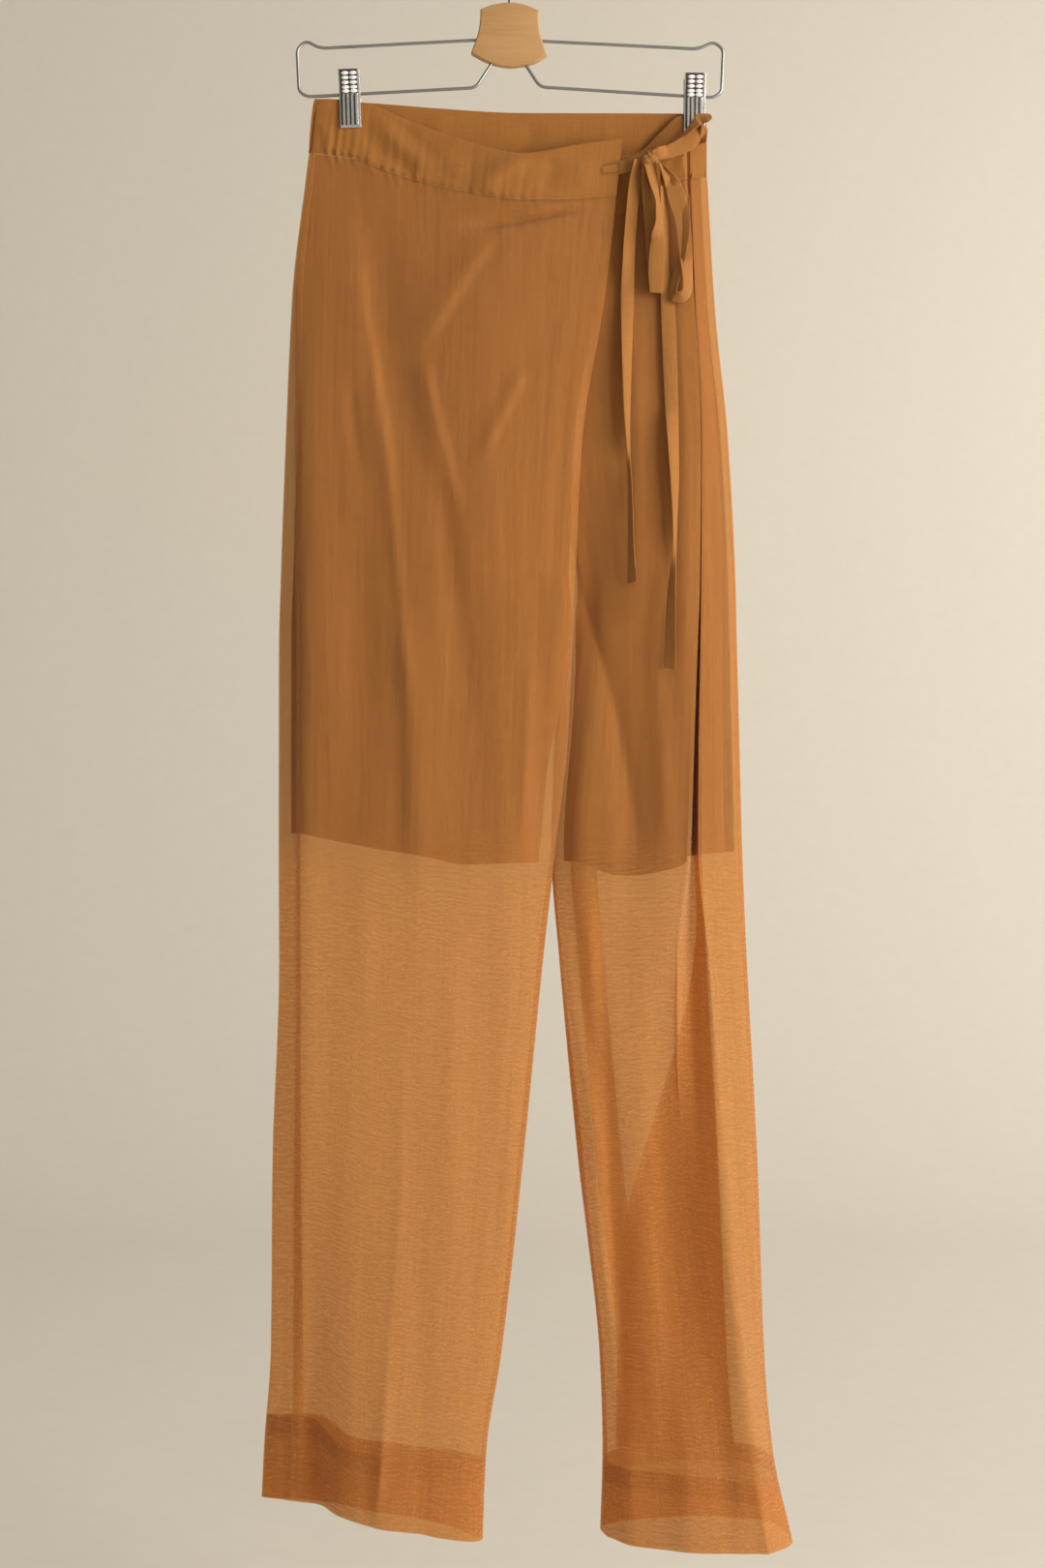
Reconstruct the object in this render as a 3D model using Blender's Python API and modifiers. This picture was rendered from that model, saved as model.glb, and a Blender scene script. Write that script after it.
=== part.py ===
"""Sheer wrap pants hanging flat from a wire clip hanger.

Metres, +Z up, +X to the viewer's right, the garment's front towards -Y.
The origin is the point inside the top of the hook where a rod carries it.
Tables are in millimetres. A line down the cloth gives its place across (X) and its depth (Y)
at each of the named levels, and a panel is lofted through its lines.
"""

import math
from collections import namedtuple

import bmesh
import bpy
from mathutils import Vector

MM = 0.001

# Cloth
WALL = 1.0
HEM_WALL = 2.0
SEAM_GAP = 0.4
TURN_GAP = 0.12
HEM_DEPTH = 62.0
LINING_OFFSET = 1.5
LINING_HEM_OFFSET = 2.2
LINING_WALL = 0.9
LINING_TOP = -232.0
LINING_LAST_WHOLE = -698.0
TIE_THICKNESS = 0.9
TINY = 0.02
MITRE_LEAST = 0.7
CROTCH_TOP = -502.0
CROTCH_BOTTOM = -536.0
CENTRE_BACK = 24.0

# Hanger
WIRE_RADIUS = 1.25
HOOK_RADIUS = 1.5
HOOK_INNER = 20.0
BEND_RADIUS = 5.0
HOOK_END = -70.0
HOLE_GAP = 0.35
HOLE_DEPTH = 14.0
BLOCK_HALF = 6.0
CLIP_WIDTH = 17.0
CLIP_SHEET = 1.0
SPRING_INNER = 1.6
SPRING_OUTER = 2.5
SPRING_LENGTH = 9.0

LEVELS = (-180, -300, -400, -515, -560, -640, -720, -800, -960, -1110, -1180, -1250)
Line = namedtuple("Line", "across depth")

# The right leg, at the viewer's left: lines down its front
RIGHT = {
    "seam": Line(
        (-154, -167, -167, -166, -166, -166, -166, -166, -168, -169, -170, -171),
        (-2, -6, -8, -9, -9, -9, -9, -7, -3, 2, 5, 8),
    ),
    "outline": Line(
        (-156, -169, -174, -178, -179, -179, -179, -179, -185, -187, -192, -195),
        (0.5, 1, 2, 3, 3, 4, 4, 5, 8, 11, 13, 14),
    ),
    "step back": Line(
        (-147, -151, -152, -152, -152, -152, -152, -152, -153, -152, -150, -148),
        (-3, -11, -15, -18, -18, -17, -16, -14, -8, -1, 3, 4),
    ),
    "step front": Line(
        (-133, -133, -133, -132, -132, -131, -130, -130, -130, -131, -131, -130),
        (-3.5, -14, -20, -24, -24, -24, -23, -22, -20, -18, -18, -18),
    ),
    "crease": Line(
        (-65, -66, -69, -71, -73, -75, -77, -79, -83, -93, -97, -102),
        (-7, -18, -24, -29, -29, -29, -29, -28, -27, -27, -27, -27),
    ),
    "inner": Line(
        (25, 22, 19, 17, 16, 14, 11, 9, 0, -17, -29, -35),
        (-12, -19, -25, -29, -28, -27, -25, -23, -21, -20, -20, -20),
    ),
    "edge": Line(
        (86, 72, 56, 50, 48, 44, 35, 26, 10, -7, -18, -21),
        (-10, -15, -20, -22, -20, -16, -12, -9, -8, -7, -7, -8),
    ),
}
RIGHT_BACK_DEPTH = (3.5, 8, 11, 14, 14, 14, 13, 13, 13, 13, 13, 12)

# The left leg, at the viewer's right: lines down its front, with the deep soft fold near its side
LEFT = {
    "edge": Line(
        (-65, -38, -9, 46, 41, 34, 32, 38, 53, 70, 72, 70),
        (-2, -4, -7, -8, -5, -1, 1, 2, 2, -1, -3, -5),
    ),
    "inner": Line(
        (-20, -2, 25, 54, 52, 45, 40, 45, 65, 77, 80, 81),
        (-2, -5, -9, -12, -11, -10, -9, -10, -14, -17, -18, -18),
    ),
    "inner valley": Line(
        (10, 27, 43, 63, 61, 53, 48, 59, 78, 84, 88, 91),
        (-2, -6, -11, -14, -14, -11, -7, -7, -12, -21, -25, -27),
    ),
    "face": Line(
        (47, 55, 63, 72, 71, 65, 59, 68, 93, 106, 111, 113),
        (-2, -9, -13, -17, -21, -22, -23, -23, -24, -31, -34, -36),
    ),
    "middle": Line(
        (92, 93, 95, 96, 97, 97, 97, 100, 117, 133, 140, 144),
        (-3, -12, -17, -22, -22, -23, -25, -26, -27, -37, -42, -45),
    ),
    "fold": Line(
        (133, 140, 144, 143, 142, 140, 137, 129, 130, 150, 159, 167),
        (-5, -17, -22, -26, -27, -28, -30, -30, -29, -39, -43, -46),
    ),
    "fold valley": Line(
        (136.5, 142.5, 146.5, 145.5, 144.5, 143, 141, 139, 144, 163, 172, 181),
        (-3, -4, -4, -4, -4, -5, -8, -14, -31, -42, -45, -47),
    ),
    "fold side": Line(
        (140, 145, 149, 148, 147, 146, 145, 152, 161, 175, 184, 196),
        (-4, -10, -14, -17, -17, -18, -21, -26, -38, -44, -46, -47),
    ),
    "seam": Line(
        (152, 159, 169, 175, 176, 178, 180, 183, 191, 196, 202, 217),
        (0, 0, 0, 0, 0, -1, -1, -3, -8, -13, -16, -20),
    ),
}
LEFT_SHARP = (5, 6, 7)
LEFT_BACK_DEPTH = (3.5, 8, 12, 16, 17, 19, 22, 25, 32, 38, 42, 46)

# Edges that run across: X, Z, and Y where a waistband's top needs it
EdgePoint = namedtuple("EdgePoint", "across height")
WRAP_SEAM = (
    EdgePoint(-153, -178),
    EdgePoint(-124, -183),
    EdgePoint(-99, -193),
    EdgePoint(-66, -204),
    EdgePoint(-30, -212),
    EdgePoint(8, -218),
    EdgePoint(35, -218),
    EdgePoint(86, -214),
)
UNDER_SEAM = (
    EdgePoint(-65, -226),
    EdgePoint(89, -225),
    EdgePoint(101, -221),
    EdgePoint(132, -201),
    EdgePoint(152, -197),
)
BACK_SEAM = (
    EdgePoint(-153, -178),
    EdgePoint(-80, -186),
    EdgePoint(7, -192),
    EdgePoint(132, -194),
    EdgePoint(152, -197),
)
RIGHT_HEM = (
    EdgePoint(-194, -1224),
    EdgePoint(-148, -1227),
    EdgePoint(-130, -1230),
    EdgePoint(-102, -1236),
    EdgePoint(-72, -1240),
    EdgePoint(-49, -1245),
    EdgePoint(-24, -1250),
)
LEFT_HEM = (
    EdgePoint(70, -1244),
    EdgePoint(76, -1247),
    EdgePoint(108, -1249),
    EdgePoint(217, -1249),
)
RIGHT_LINING_HEM = (
    EdgePoint(-156, -706),
    EdgePoint(-120, -714),
    EdgePoint(-60, -724),
    EdgePoint(-35, -729),
    EdgePoint(8, -728),
)
LEFT_LINING_HEM = (
    EdgePoint(50, -727),
    EdgePoint(87, -738),
    EdgePoint(129, -731),
    EdgePoint(143, -722),
    EdgePoint(180, -720),
)
TopPoint = namedtuple("TopPoint", "across height depth")
WRAP_TOP = (
    TopPoint(-149, -137.5, -1.4),
    TopPoint(-140, -137.8, -2.2),
    TopPoint(-112, -141, -3),
    TopPoint(-81, -154, -4.5),
    TopPoint(-58, -163, -6),
    TopPoint(-30, -173, -8.5),
    TopPoint(-5, -180, -10.5),
    TopPoint(10, -182, -11.5),
    TopPoint(28, -180, -11.5),
    TopPoint(53, -175, -10.5),
    TopPoint(87, -170, -9),
)
UNDER_TOP = (
    TopPoint(-65, -181, -1.2),
    TopPoint(0, -184, -1.2),
    TopPoint(89, -181, -2),
    TopPoint(101, -178, -2.4),
    TopPoint(118, -162, -3),
    TopPoint(132, -151, -3.2),
    TopPoint(140, -151, -2.4),
    TopPoint(152, -153, -0.4),
)
BACK_TOP = (
    TopPoint(152, -153, 0.4),
    TopPoint(148, -152, 2),
    TopPoint(132, -148, 3),
    TopPoint(7, -147.5, 3),
    TopPoint(-56, -144, 3),
    TopPoint(-80, -142, 3),
    TopPoint(-113, -139.5, 3),
    TopPoint(-136, -138, 3),
    TopPoint(-146, -137.5, 2),
    TopPoint(-149.5, -137.5, 0),
)

# Flat straps: one row for each section, its two edges and its depth
Strap = namedtuple("Strap", "x1 z1 x2 z2 depth")
STRAPS = {
    "tie_wrap": (
        Strap(70, -190, 70.5, -199, -11.8),
        Strap(80, -188.5, 80.5, -198, -11.2),
        Strap(88, -187, 88.5, -197, -11.4),
        Strap(96, -183, 97, -193, -14.5),
        Strap(102.7, -181.5, 102.7, -190.5, -17),
    ),
    "tie_side": (
        Strap(113.8, -180.2, 113.8, -189, -17),
        Strap(124, -175.4, 125, -186, -15.4),
        Strap(133, -169.8, 134.4, -182.6, -14.4),
        Strap(143, -161.8, 142.6, -177.6, -13.6),
        Strap(148.5, -161.4, 147.6, -168.8, -12.4),
        Strap(152.2, -165, 147.4, -169.2, -8.2),
        Strap(151.8, -172, 146.8, -172, -2.7),
    ),
    "tie_twist": (
        Strap(133.4, -168.4, 139.4, -163.4, -12.7),
        Strap(144.6, -154.6, 150, -160, -11.6),
        Strap(151.4, -150.8, 155, -156.4, -11),
        Strap(155.6, -150.8, 156.6, -155.8, -8.4),
        Strap(155.4, -157.2, 152.6, -160.8, -5.6),
    ),
    "bow_loop_left": (
        Strap(104.4, -193.3, 113, -193.3, -18.6),
        Strap(104.6, -215, 116.4, -212, -20.4),
        Strap(106.6, -250, 118, -248, -21.6),
        Strap(108.4, -287, 119.6, -287.6, -21.4),
    ),
    "bow_loop_left_back": (
        Strap(105.4, -193.4, 112.4, -193.4, -17.2),
        Strap(107.2, -215, 117.8, -212, -17),
        Strap(108.6, -250, 119.6, -248, -18.4),
        Strap(109.6, -286, 120.2, -287, -20.1),
    ),
    "bow_loop_right": (
        Strap(113.5, -189.6, 117.4, -195.8, -18.6),
        Strap(121.6, -217.6, 129.6, -206.6, -20.2),
        Strap(126.6, -237.6, 138, -234, -21.6),
        Strap(127.8, -262, 138.6, -261, -22),
        Strap(126.2, -292, 134.6, -296, -21.6),
    ),
    "bow_loop_right_back": (
        Strap(114.6, -190.6, 119.6, -196.6, -17.2),
        Strap(125, -216, 133.6, -210, -17.4),
        Strap(130.6, -236, 140.4, -234, -18.6),
        Strap(133.8, -262, 140.8, -262, -19.4),
        Strap(130.6, -291, 137.8, -292.6, -20.2),
    ),
    "tail_left": (
        Strap(97.6, -187, 101.4, -186.4, -13.7),
        Strap(94.6, -195, 99.9, -195, -12.8),
        Strap(93, -203, 99.4, -203, -13.2),
        Strap(86.8, -262, 96, -262, -14.2),
        Strap(85.4, -300, 95.2, -300, -15.2),
        Strap(87, -368, 92.6, -368, -18.2),
        Strap(89.6, -408, 92.2, -408, -20.2),
        Strap(91.2, -448, 93.8, -448, -22),
        Strap(93, -488, 96.4, -488, -23.8),
        Strap(97.4, -513, 88.6, -514.4, -24.6),
    ),
    "tail_right": (
        Strap(114.8, -192, 120.8, -195.6, -15.8),
        Strap(115.4, -204, 122, -204.4, -15.2),
        Strap(115.4, -262, 122, -262, -15.2),
        Strap(116.2, -304, 127.2, -304, -17.9),
        Strap(119, -378, 129, -378, -21.8),
        Strap(122, -428, 129.4, -428, -24.4),
        Strap(124.4, -478, 127.6, -478, -26.6),
        Strap(123, -528, 126.2, -528, -27.8),
        Strap(117.4, -579, 126.2, -580, -28.8),
    ),
}
KNOT_CENTRE = (108.2, -17.6, -185.6)
KNOT_HALF = (5.6, 3.4, 7.4)

# Hanger wire, in the plane of the hanger: X and Z
LEFT_WIRE = (
    (-18.6, -90.7),
    (-147, -97.5),
    (-158, -91.6),
    (-165, -98),
    (-163.4, -131),
    (-157, -135),
    (-26.4, -128),
    (-12.2, -106.2),
)
RIGHT_WIRE = (
    (19.4, -91.7),
    (146, -98),
    (158, -92.4),
    (165.4, -98),
    (164, -131.4),
    (158, -135.6),
    (134, -134.4),
    (23.4, -127.4),
    (10, -106.8),
)
BLOCK_OUTLINE = (
    (-22.8, -68.8),
    (-12, -65),
    (0, -63.5),
    (12, -65.4),
    (22.6, -69.8),
    (22.4, -76),
    (23.2, -86),
    (28.4, -103),
    (20, -108.6),
    (10, -111.4),
    (0, -112.4),
    (-10, -111),
    (-20, -107.4),
    (-30, -101.8),
    (-24.4, -86),
    (-23, -76),
)
# A clip sheet's side view, as drops below the clip's top and depths of its inner face
CLIP_PROFILE = ((0, 8.4), (6, 6.6), (13, 3.9), (17, 3.0), (24, 3.5), (34, 4.2), (44.5, 4.3))
Clip = namedtuple("Clip", "name top_x bottom_x top_z")
CLIPS = (Clip("left", -124.5, -123, -116), Clip("right", 143.2, 142.6, -119))

PANEL_ROWS = {"hip": 9, "crotch": 3, "leg": 15, "hem": 2}


def slope(x, y, i):
    """The slope of a smooth curve through the points at point i, flat where they turn."""
    if i in (0, len(x) - 1):
        j = min(i, len(x) - 2)
        return (y[j + 1] - y[j]) / (x[j + 1] - x[j])
    before = (y[i] - y[i - 1]) / (x[i] - x[i - 1])
    after = (y[i + 1] - y[i]) / (x[i + 1] - x[i])
    return 0.0 if before * after <= 0 else 2 * before * after / (before + after)


def smooth(x, y, at):
    """The value at a place, on a smooth curve through points whose x rises."""
    at = min(max(at, x[0]), x[-1])
    i = max(k for k in range(len(x) - 1) if x[k] <= at)
    span = x[i + 1] - x[i]
    t = (at - x[i]) / span
    start, end = slope(x, y, i) * span, slope(x, y, i + 1) * span
    return (
        (1 + 2 * t) * (1 - t) ** 2 * y[i]
        + t * (1 - t) ** 2 * start
        + t * t * (3 - 2 * t) * y[i + 1]
        - t * t * (1 - t) * end
    )


def step(start, end, at):
    """0 before start, 1 after end, and smooth between them."""
    t = min(max((at - start) / (end - start), 0.0), 1.0)
    return t * t * (3 - 2 * t)


def mix(a, b, share):
    return a + (b - a) * share


def by_level(values, height):
    rising = [-level for level in LEVELS]
    return smooth(rising, values, -height)


def on_line(line, height):
    """Where a line down the cloth is at this height, as (across, depth)."""
    return Vector((by_level(line.across, height), by_level(line.depth, height)))


def along(points, field, across):
    """An edge's height or depth at a place across, from its short table."""
    ordered = sorted(points, key=lambda point: point.across)
    return smooth([p.across for p in ordered], [getattr(p, field) for p in ordered], across)


def between(before, a, b, after, share):
    """A point between a and b on the centripetal curve through four points."""
    knots = [0.0]
    for first, second in ((before, a), (a, b), (b, after)):
        knots.append(knots[-1] + max((second - first).length, 0.01) ** 0.5)
    t0, t1, t2, t3 = knots
    t = mix(t1, t2, share)
    p1 = before * ((t1 - t) / (t1 - t0)) + a * ((t - t0) / (t1 - t0))
    p2 = a * ((t2 - t) / (t2 - t1)) + b * ((t - t1) / (t2 - t1))
    p3 = b * ((t3 - t) / (t3 - t2)) + after * ((t - t2) / (t3 - t2))
    q1 = p1 * ((t2 - t) / (t2 - t0)) + p2 * ((t - t0) / (t2 - t0))
    q2 = p2 * ((t3 - t) / (t3 - t1)) + p3 * ((t - t1) / (t3 - t1))
    return q1 * ((t2 - t) / (t2 - t1)) + q2 * ((t - t1) / (t2 - t1))


def on_section(stations, sharp, column):
    """The point of a section at a column. stations has one guide point more at each end."""
    k = min(int(column), len(stations) - 4)
    before, a, b, after = stations[k : k + 4]
    if k in sharp:
        before = 2 * a - b
    if k + 1 in sharp:
        after = 2 * b - a
    return between(before, a, b, after, column - k)


def below_crotch(height):
    return step(-CROTCH_TOP, -CROTCH_BOTTOM, -height)


def right_back_lines(height):
    """The right back's lines from its inner edge round to the side seam on the leg's front."""
    depth = by_level(RIGHT_BACK_DEPTH, height)
    edge = on_line(RIGHT["edge"], height)
    outline = on_line(RIGHT["outline"], height)
    below = below_crotch(height)
    above_lines = (
        Vector((CENTRE_BACK, depth)),
        Vector((CENTRE_BACK - 16, depth)),
        Vector((CENTRE_BACK - 36, depth)),
    )
    below_lines = (
        edge,
        edge + Vector((-13, 0.55 * (depth - edge.y))),
        Vector((edge.x - 30, depth - 1)),
    )
    inner = [a.lerp(b, below) for a, b in zip(above_lines, below_lines)]
    middle = Vector((mix(outline.x, inner[2].x, 0.5), depth))
    turn = Vector((outline.x + 24, depth + 0.4 * (outline.y + 4 - depth)))
    return [*inner, middle, turn, outline, on_line(RIGHT["seam"], height)]


def left_back_lines(height):
    """The left back's lines from the side seam to its inner edge."""
    depth = by_level(LEFT_BACK_DEPTH, height)
    edge = on_line(LEFT["edge"], height)
    seam = on_line(LEFT["seam"], height)
    below = below_crotch(height)
    above_lines = (
        Vector((CENTRE_BACK + 36, depth)),
        Vector((CENTRE_BACK + 16, depth)),
        Vector((CENTRE_BACK, depth)),
    )
    below_lines = (
        Vector((edge.x + 26, mix(edge.y, depth, 0.8))),
        Vector((edge.x + 6, mix(edge.y, depth, 0.5))),
        edge,
    )
    inner = [a.lerp(b, below) for a, b in zip(above_lines, below_lines)]
    outer = Vector((seam.x - 14, mix(seam.y, depth, 0.8)))
    middle = Vector((mix(outer.x, inner[0].x, 0.5), depth))
    return [seam, outer, middle, *inner]


def right_front_lines(height):
    names = ("seam", "step back", "step front", "crease", "inner", "edge")
    return [on_line(RIGHT[name], height) for name in names]


def left_front_lines(height):
    return [on_line(line, height) for line in LEFT.values()]


def beyond(a, b):
    """The guide point past a free edge a, whose neighbour is b."""
    return 2 * a - b


def right_front_stations(height):
    lines, back = right_front_lines(height), right_back_lines(height)
    free = beyond(lines[-1], lines[-2])
    return [back[-2], *lines, free.lerp(back[1], below_crotch(height))]


def left_front_stations(height):
    lines, back = left_front_lines(height), left_back_lines(height)
    free = beyond(lines[0], lines[1])
    return [free.lerp(back[-2], below_crotch(height)), *lines, back[1]]


def right_back_stations(height):
    lines, front = right_back_lines(height), right_front_lines(height)
    other = left_back_lines(height)[-2]
    return [other.lerp(front[-2], below_crotch(height)), *lines, front[1]]


def left_back_stations(height):
    lines, front = left_back_lines(height), left_front_lines(height)
    other = right_back_lines(height)[1]
    return [front[-2], *lines, other.lerp(front[1], below_crotch(height))]


Panel = namedtuple("Panel", "stations columns sharp top hem cuts")
Cut = namedtuple("Cut", "name first last rows")


def columns(last, *extra):
    """Every half column up to the last line, and the extra ones."""
    return sorted({*(k / 2 for k in range(2 * last + 1)), *extra})


PANELS = {
    "right_front": Panel(
        right_front_stations,
        columns(5, 2.25, 2.75, 3.25, 3.75),
        (),
        WRAP_SEAM,
        RIGHT_HEM,
        (
            Cut("side", 0, 2, "all"),
            Cut("hip", 2, 4, "above crotch"),
            Cut("leg", 2, 4, "below crotch"),
            Cut("inner", 4, 5, "all"),
        ),
    ),
    "left_front": Panel(
        left_front_stations,
        columns(8, 4.25, 4.75),
        LEFT_SHARP,
        UNDER_SEAM,
        LEFT_HEM,
        (
            Cut("inner_hip", 0, 3, "above crotch"),
            Cut("inner_leg", 0, 3, "below crotch"),
            Cut("hip", 3, 5, "above crotch"),
            Cut("leg", 3, 5, "below crotch"),
            Cut("fold", 5, 6, "all"),
            Cut("side", 6, 8, "all"),
        ),
    ),
    "right_back": Panel(
        right_back_stations,
        columns(6, 2.75, 3.25),
        (),
        BACK_SEAM,
        RIGHT_HEM,
        (
            Cut("hip", 0, 4, "above crotch"),
            Cut("inner", 0, 2, "below crotch"),
            Cut("leg", 2, 4, "below crotch"),
            Cut("side", 4, 6, "all"),
        ),
    ),
    "left_back": Panel(
        left_back_stations,
        columns(5, 1.25, 1.75, 2.25),
        (),
        BACK_SEAM,
        LEFT_HEM,
        (
            Cut("side", 0, 1, "all"),
            Cut("hip", 1, 5, "above crotch"),
            Cut("leg", 1, 3, "below crotch"),
            Cut("inner", 3, 5, "below crotch"),
        ),
    ),
}
BAND_HEIGHT_GUESS = -200
HEM_HEIGHT_GUESS = -1240
BAND_ROWS = 3


def surface_point(panel, column, height):
    flat = on_section(panel.stations(height), panel.sharp, column)
    return Vector((flat.x, flat.y, height))


def column_heights(panel, column):
    """The heights of a column's rows, from the waistband seam to the hem's edge."""
    top = along(panel.top, "height", surface_point(panel, column, BAND_HEIGHT_GUESS).x)
    hem = along(panel.hem, "height", surface_point(panel, column, HEM_HEIGHT_GUESS).x)
    ends = (top, CROTCH_TOP + 4, CROTCH_BOTTOM - 4, hem + HEM_DEPTH)
    heights = []
    for part, start, end in zip(("hip", "crotch", "leg"), ends, ends[1:]):
        count = PANEL_ROWS[part]
        heights += [mix(start, end, k / count) for k in range(count)]
    heights += [hem + HEM_DEPTH, hem + HEM_DEPTH - 2]
    return heights + [hem + (HEM_DEPTH - 2) * (1 - k / PANEL_ROWS["hem"]) for k in (1, 2)]


Face = namedtuple("Face", "rows first last")


def towards(point, other):
    """The point moved towards another by half the gap at a seam."""
    return point + (other - point).normalized() * SEAM_GAP / 2


def pulled_in(rows):
    """The rows with all four edges moved in, which leaves the gap at the seams."""
    rows = [[towards(row[0], row[1]), *row[1:-1], towards(row[-1], row[-2])] for row in rows]
    top = [towards(point, below) for point, below in zip(rows[0], rows[1])]
    bottom = [towards(point, above) for point, above in zip(rows[-1], rows[-2])]
    return [top, *rows[1:-1], bottom]


def panel_face(panel):
    """A panel's outer face: its rows, and the way that the cloth runs at both ends of each."""
    heights = [column_heights(panel, column) for column in panel.columns]
    end = panel.columns[-1]
    rows, first, last = [], [], []
    for i in range(len(heights[0])):
        row = [surface_point(panel, c, h[i]) for c, h in zip(panel.columns, heights)]
        first.append((surface_point(panel, TINY, row[0].z) - row[0]).normalized())
        last.append((row[-1] - surface_point(panel, end - TINY, row[-1].z)).normalized())
        row[0] += first[-1] * TURN_GAP
        row[-1] -= last[-1] * TURN_GAP
        rows.append(row)
    return Face(rows, first, last)


def free_face(rows):
    """A face whose ends run on as its last pieces do."""
    first = [(row[1] - row[0]).normalized() for row in rows]
    last = [(row[-1] - row[-2]).normalized() for row in rows]
    return Face(rows, first, last)


def inward(face, i, j):
    """The way from a point of a face to the same wall's inner face, for a wall of thickness 1."""
    rows = face.rows
    down = rows[min(i + 1, len(rows) - 1)][j] - rows[max(i - 1, 0)][j]
    row = rows[i]
    before = row[j] - row[j - 1] if j else face.first[i]
    after = row[j + 1] - row[j] if j < len(row) - 1 else face.last[i]
    if j == 0:
        after = before
    elif j == len(row) - 1:
        before = after
    one, other = down.cross(before).normalized(), down.cross(after).normalized()
    return -(one + other) / max(1 + one.dot(other), MITRE_LEAST)


def moved_in(face, amounts):
    """The face moved inwards, by one amount for each row."""
    rows = [
        [point + inward(face, i, j) * amount for j, point in enumerate(row)]
        for i, (row, amount) in enumerate(zip(face.rows, amounts))
    ]
    return Face(rows, face.first, face.last)


def new_material(name, colour, roughness, metallic=0.0):
    material = bpy.data.materials.new(name)
    material.use_nodes = True
    shader = material.node_tree.nodes["Principled BSDF"]
    shader.inputs["Base Color"].default_value = (*colour, 1.0)
    shader.inputs["Roughness"].default_value = roughness
    shader.inputs["Metallic"].default_value = metallic
    return material


def add_object(name, data, material, parts):
    obj = bpy.data.objects.new(name, data)
    data.materials.append(material)
    parts.objects.link(obj)
    return obj


def grid_mesh(name, grid):
    """A mesh in metres of a grid of points in millimetres, its rows running down and facing out."""
    mesh = bpy.data.meshes.new(name)
    shape = bmesh.new()
    rows = [[shape.verts.new(point * MM) for point in row] for row in grid]
    for upper, lower in zip(rows, rows[1:]):
        for j in range(len(upper) - 1):
            shape.faces.new((upper[j], lower[j], lower[j + 1], upper[j + 1]))
    shape.to_mesh(mesh)
    shape.free()
    mesh.shade_smooth()
    return mesh


def add_strip(name, grid, material, parts, thickness):
    """A flat strip: the grid is its outer face, and Solidify gives it its thickness inwards."""
    obj = add_object(name, grid_mesh(name, grid), material, parts)
    wall = obj.modifiers.new("Wall", "SOLIDIFY")
    wall.offset = -1.0
    wall.use_quality_normals = True
    wall.thickness = thickness * MM
    return obj


def add_wall(name, outer, inner, material, parts):
    """A cloth wall lofted from its outer rows of points round its edges to its inner rows."""
    mesh = bpy.data.meshes.new(name)
    shape = bmesh.new()
    front = [[shape.verts.new(point * MM) for point in row] for row in pulled_in(outer)]
    back = [[shape.verts.new(point * MM) for point in row] for row in pulled_in(inner)]
    width = len(front[0])
    for i in range(len(front) - 1):
        for j in range(width - 1):
            for corners in (
                ((i, j), (i + 1, j), (i + 1, j + 1)),
                ((i, j), (i + 1, j + 1), (i, j + 1)),
            ):
                shape.faces.new([front[a][b] for a, b in corners])
                shape.faces.new([back[a][b] for a, b in reversed(corners)])
        shape.faces.new((front[i + 1][0], front[i][0], back[i][0], back[i + 1][0]))
        shape.faces.new((front[i][-1], front[i + 1][-1], back[i + 1][-1], back[i][-1]))
    for j in range(width - 1):
        shape.faces.new((front[0][j], front[0][j + 1], back[0][j + 1], back[0][j]))
        shape.faces.new((front[-1][j + 1], front[-1][j], back[-1][j], back[-1][j + 1]))
    shape.to_mesh(mesh)
    shape.free()
    mesh.shade_smooth()
    add_object(name, mesh, material, parts)


def part_of(rows, panel, cut):
    """The rows of a panel that lie in one of its cuts."""
    first, last = panel.columns.index(cut.first), panel.columns.index(cut.last)
    crotch = PANEL_ROWS["hip"]
    chosen = {"all": rows, "above crotch": rows[: crotch + 1], "below crotch": rows[crotch:]}
    return [row[first : last + 1] for row in chosen[cut.rows]]


def add_panels(parts):
    """The four cloth panels, each in solids that hold no hollow, cut at its lines and the crotch.

    Returns the panels' outer faces, from which the pieces that lie on them are made.
    """
    faces = {}
    for name, panel in PANELS.items():
        cloth = new_material(name, (0.45, 0.2, 0.07), 0.8)
        face = panel_face(panel)
        inner = moved_in(face, [WALL] * (len(face.rows) - 3) + [HEM_WALL] * 3)
        for cut in panel.cuts:
            solid = f"{name}_{cut.name}"
            outer_rows, inner_rows = (part_of(f.rows, panel, cut) for f in (face, inner))
            add_wall(solid, outer_rows, inner_rows, cloth, parts)
        faces[name] = face
    return faces


def add_band(name, seam_row, ends, top_edge, parts):
    """A waistband: from the panel's top row up to its own top edge."""
    span = seam_row[-1].x - seam_row[0].x
    first, last = top_edge[0].across, top_edge[-1].across
    upper = []
    for point in seam_row:
        x = mix(first, last, (point.x - seam_row[0].x) / span)
        upper.append(Vector((x, along(top_edge, "depth", x), along(top_edge, "height", x))))
    rows = [[a.lerp(b, k / BAND_ROWS) for a, b in zip(upper, seam_row)] for k in range(BAND_ROWS + 1)]
    face = Face(rows, [ends[0]] * len(rows), [ends[1]] * len(rows))
    material = new_material(name, (0.4, 0.18, 0.06), 0.8)
    add_wall(name, rows, moved_in(face, [WALL] * len(rows)).rows, material, parts)


def add_bands(faces, parts):
    for name, panel, top_edge in (
        ("waistband_wrap", "right_front", WRAP_TOP),
        ("waistband_under", "left_front", UNDER_TOP),
    ):
        face = faces[panel]
        add_band(name, face.rows[0], (face.first[0], face.last[0]), top_edge, parts)
    left, right = faces["left_back"], faces["right_back"]
    row = [*left.rows[0][:-1], *right.rows[0][1:]]
    add_band("waistband_back", row, (left.first[0], right.last[0]), BACK_TOP, parts)


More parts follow.
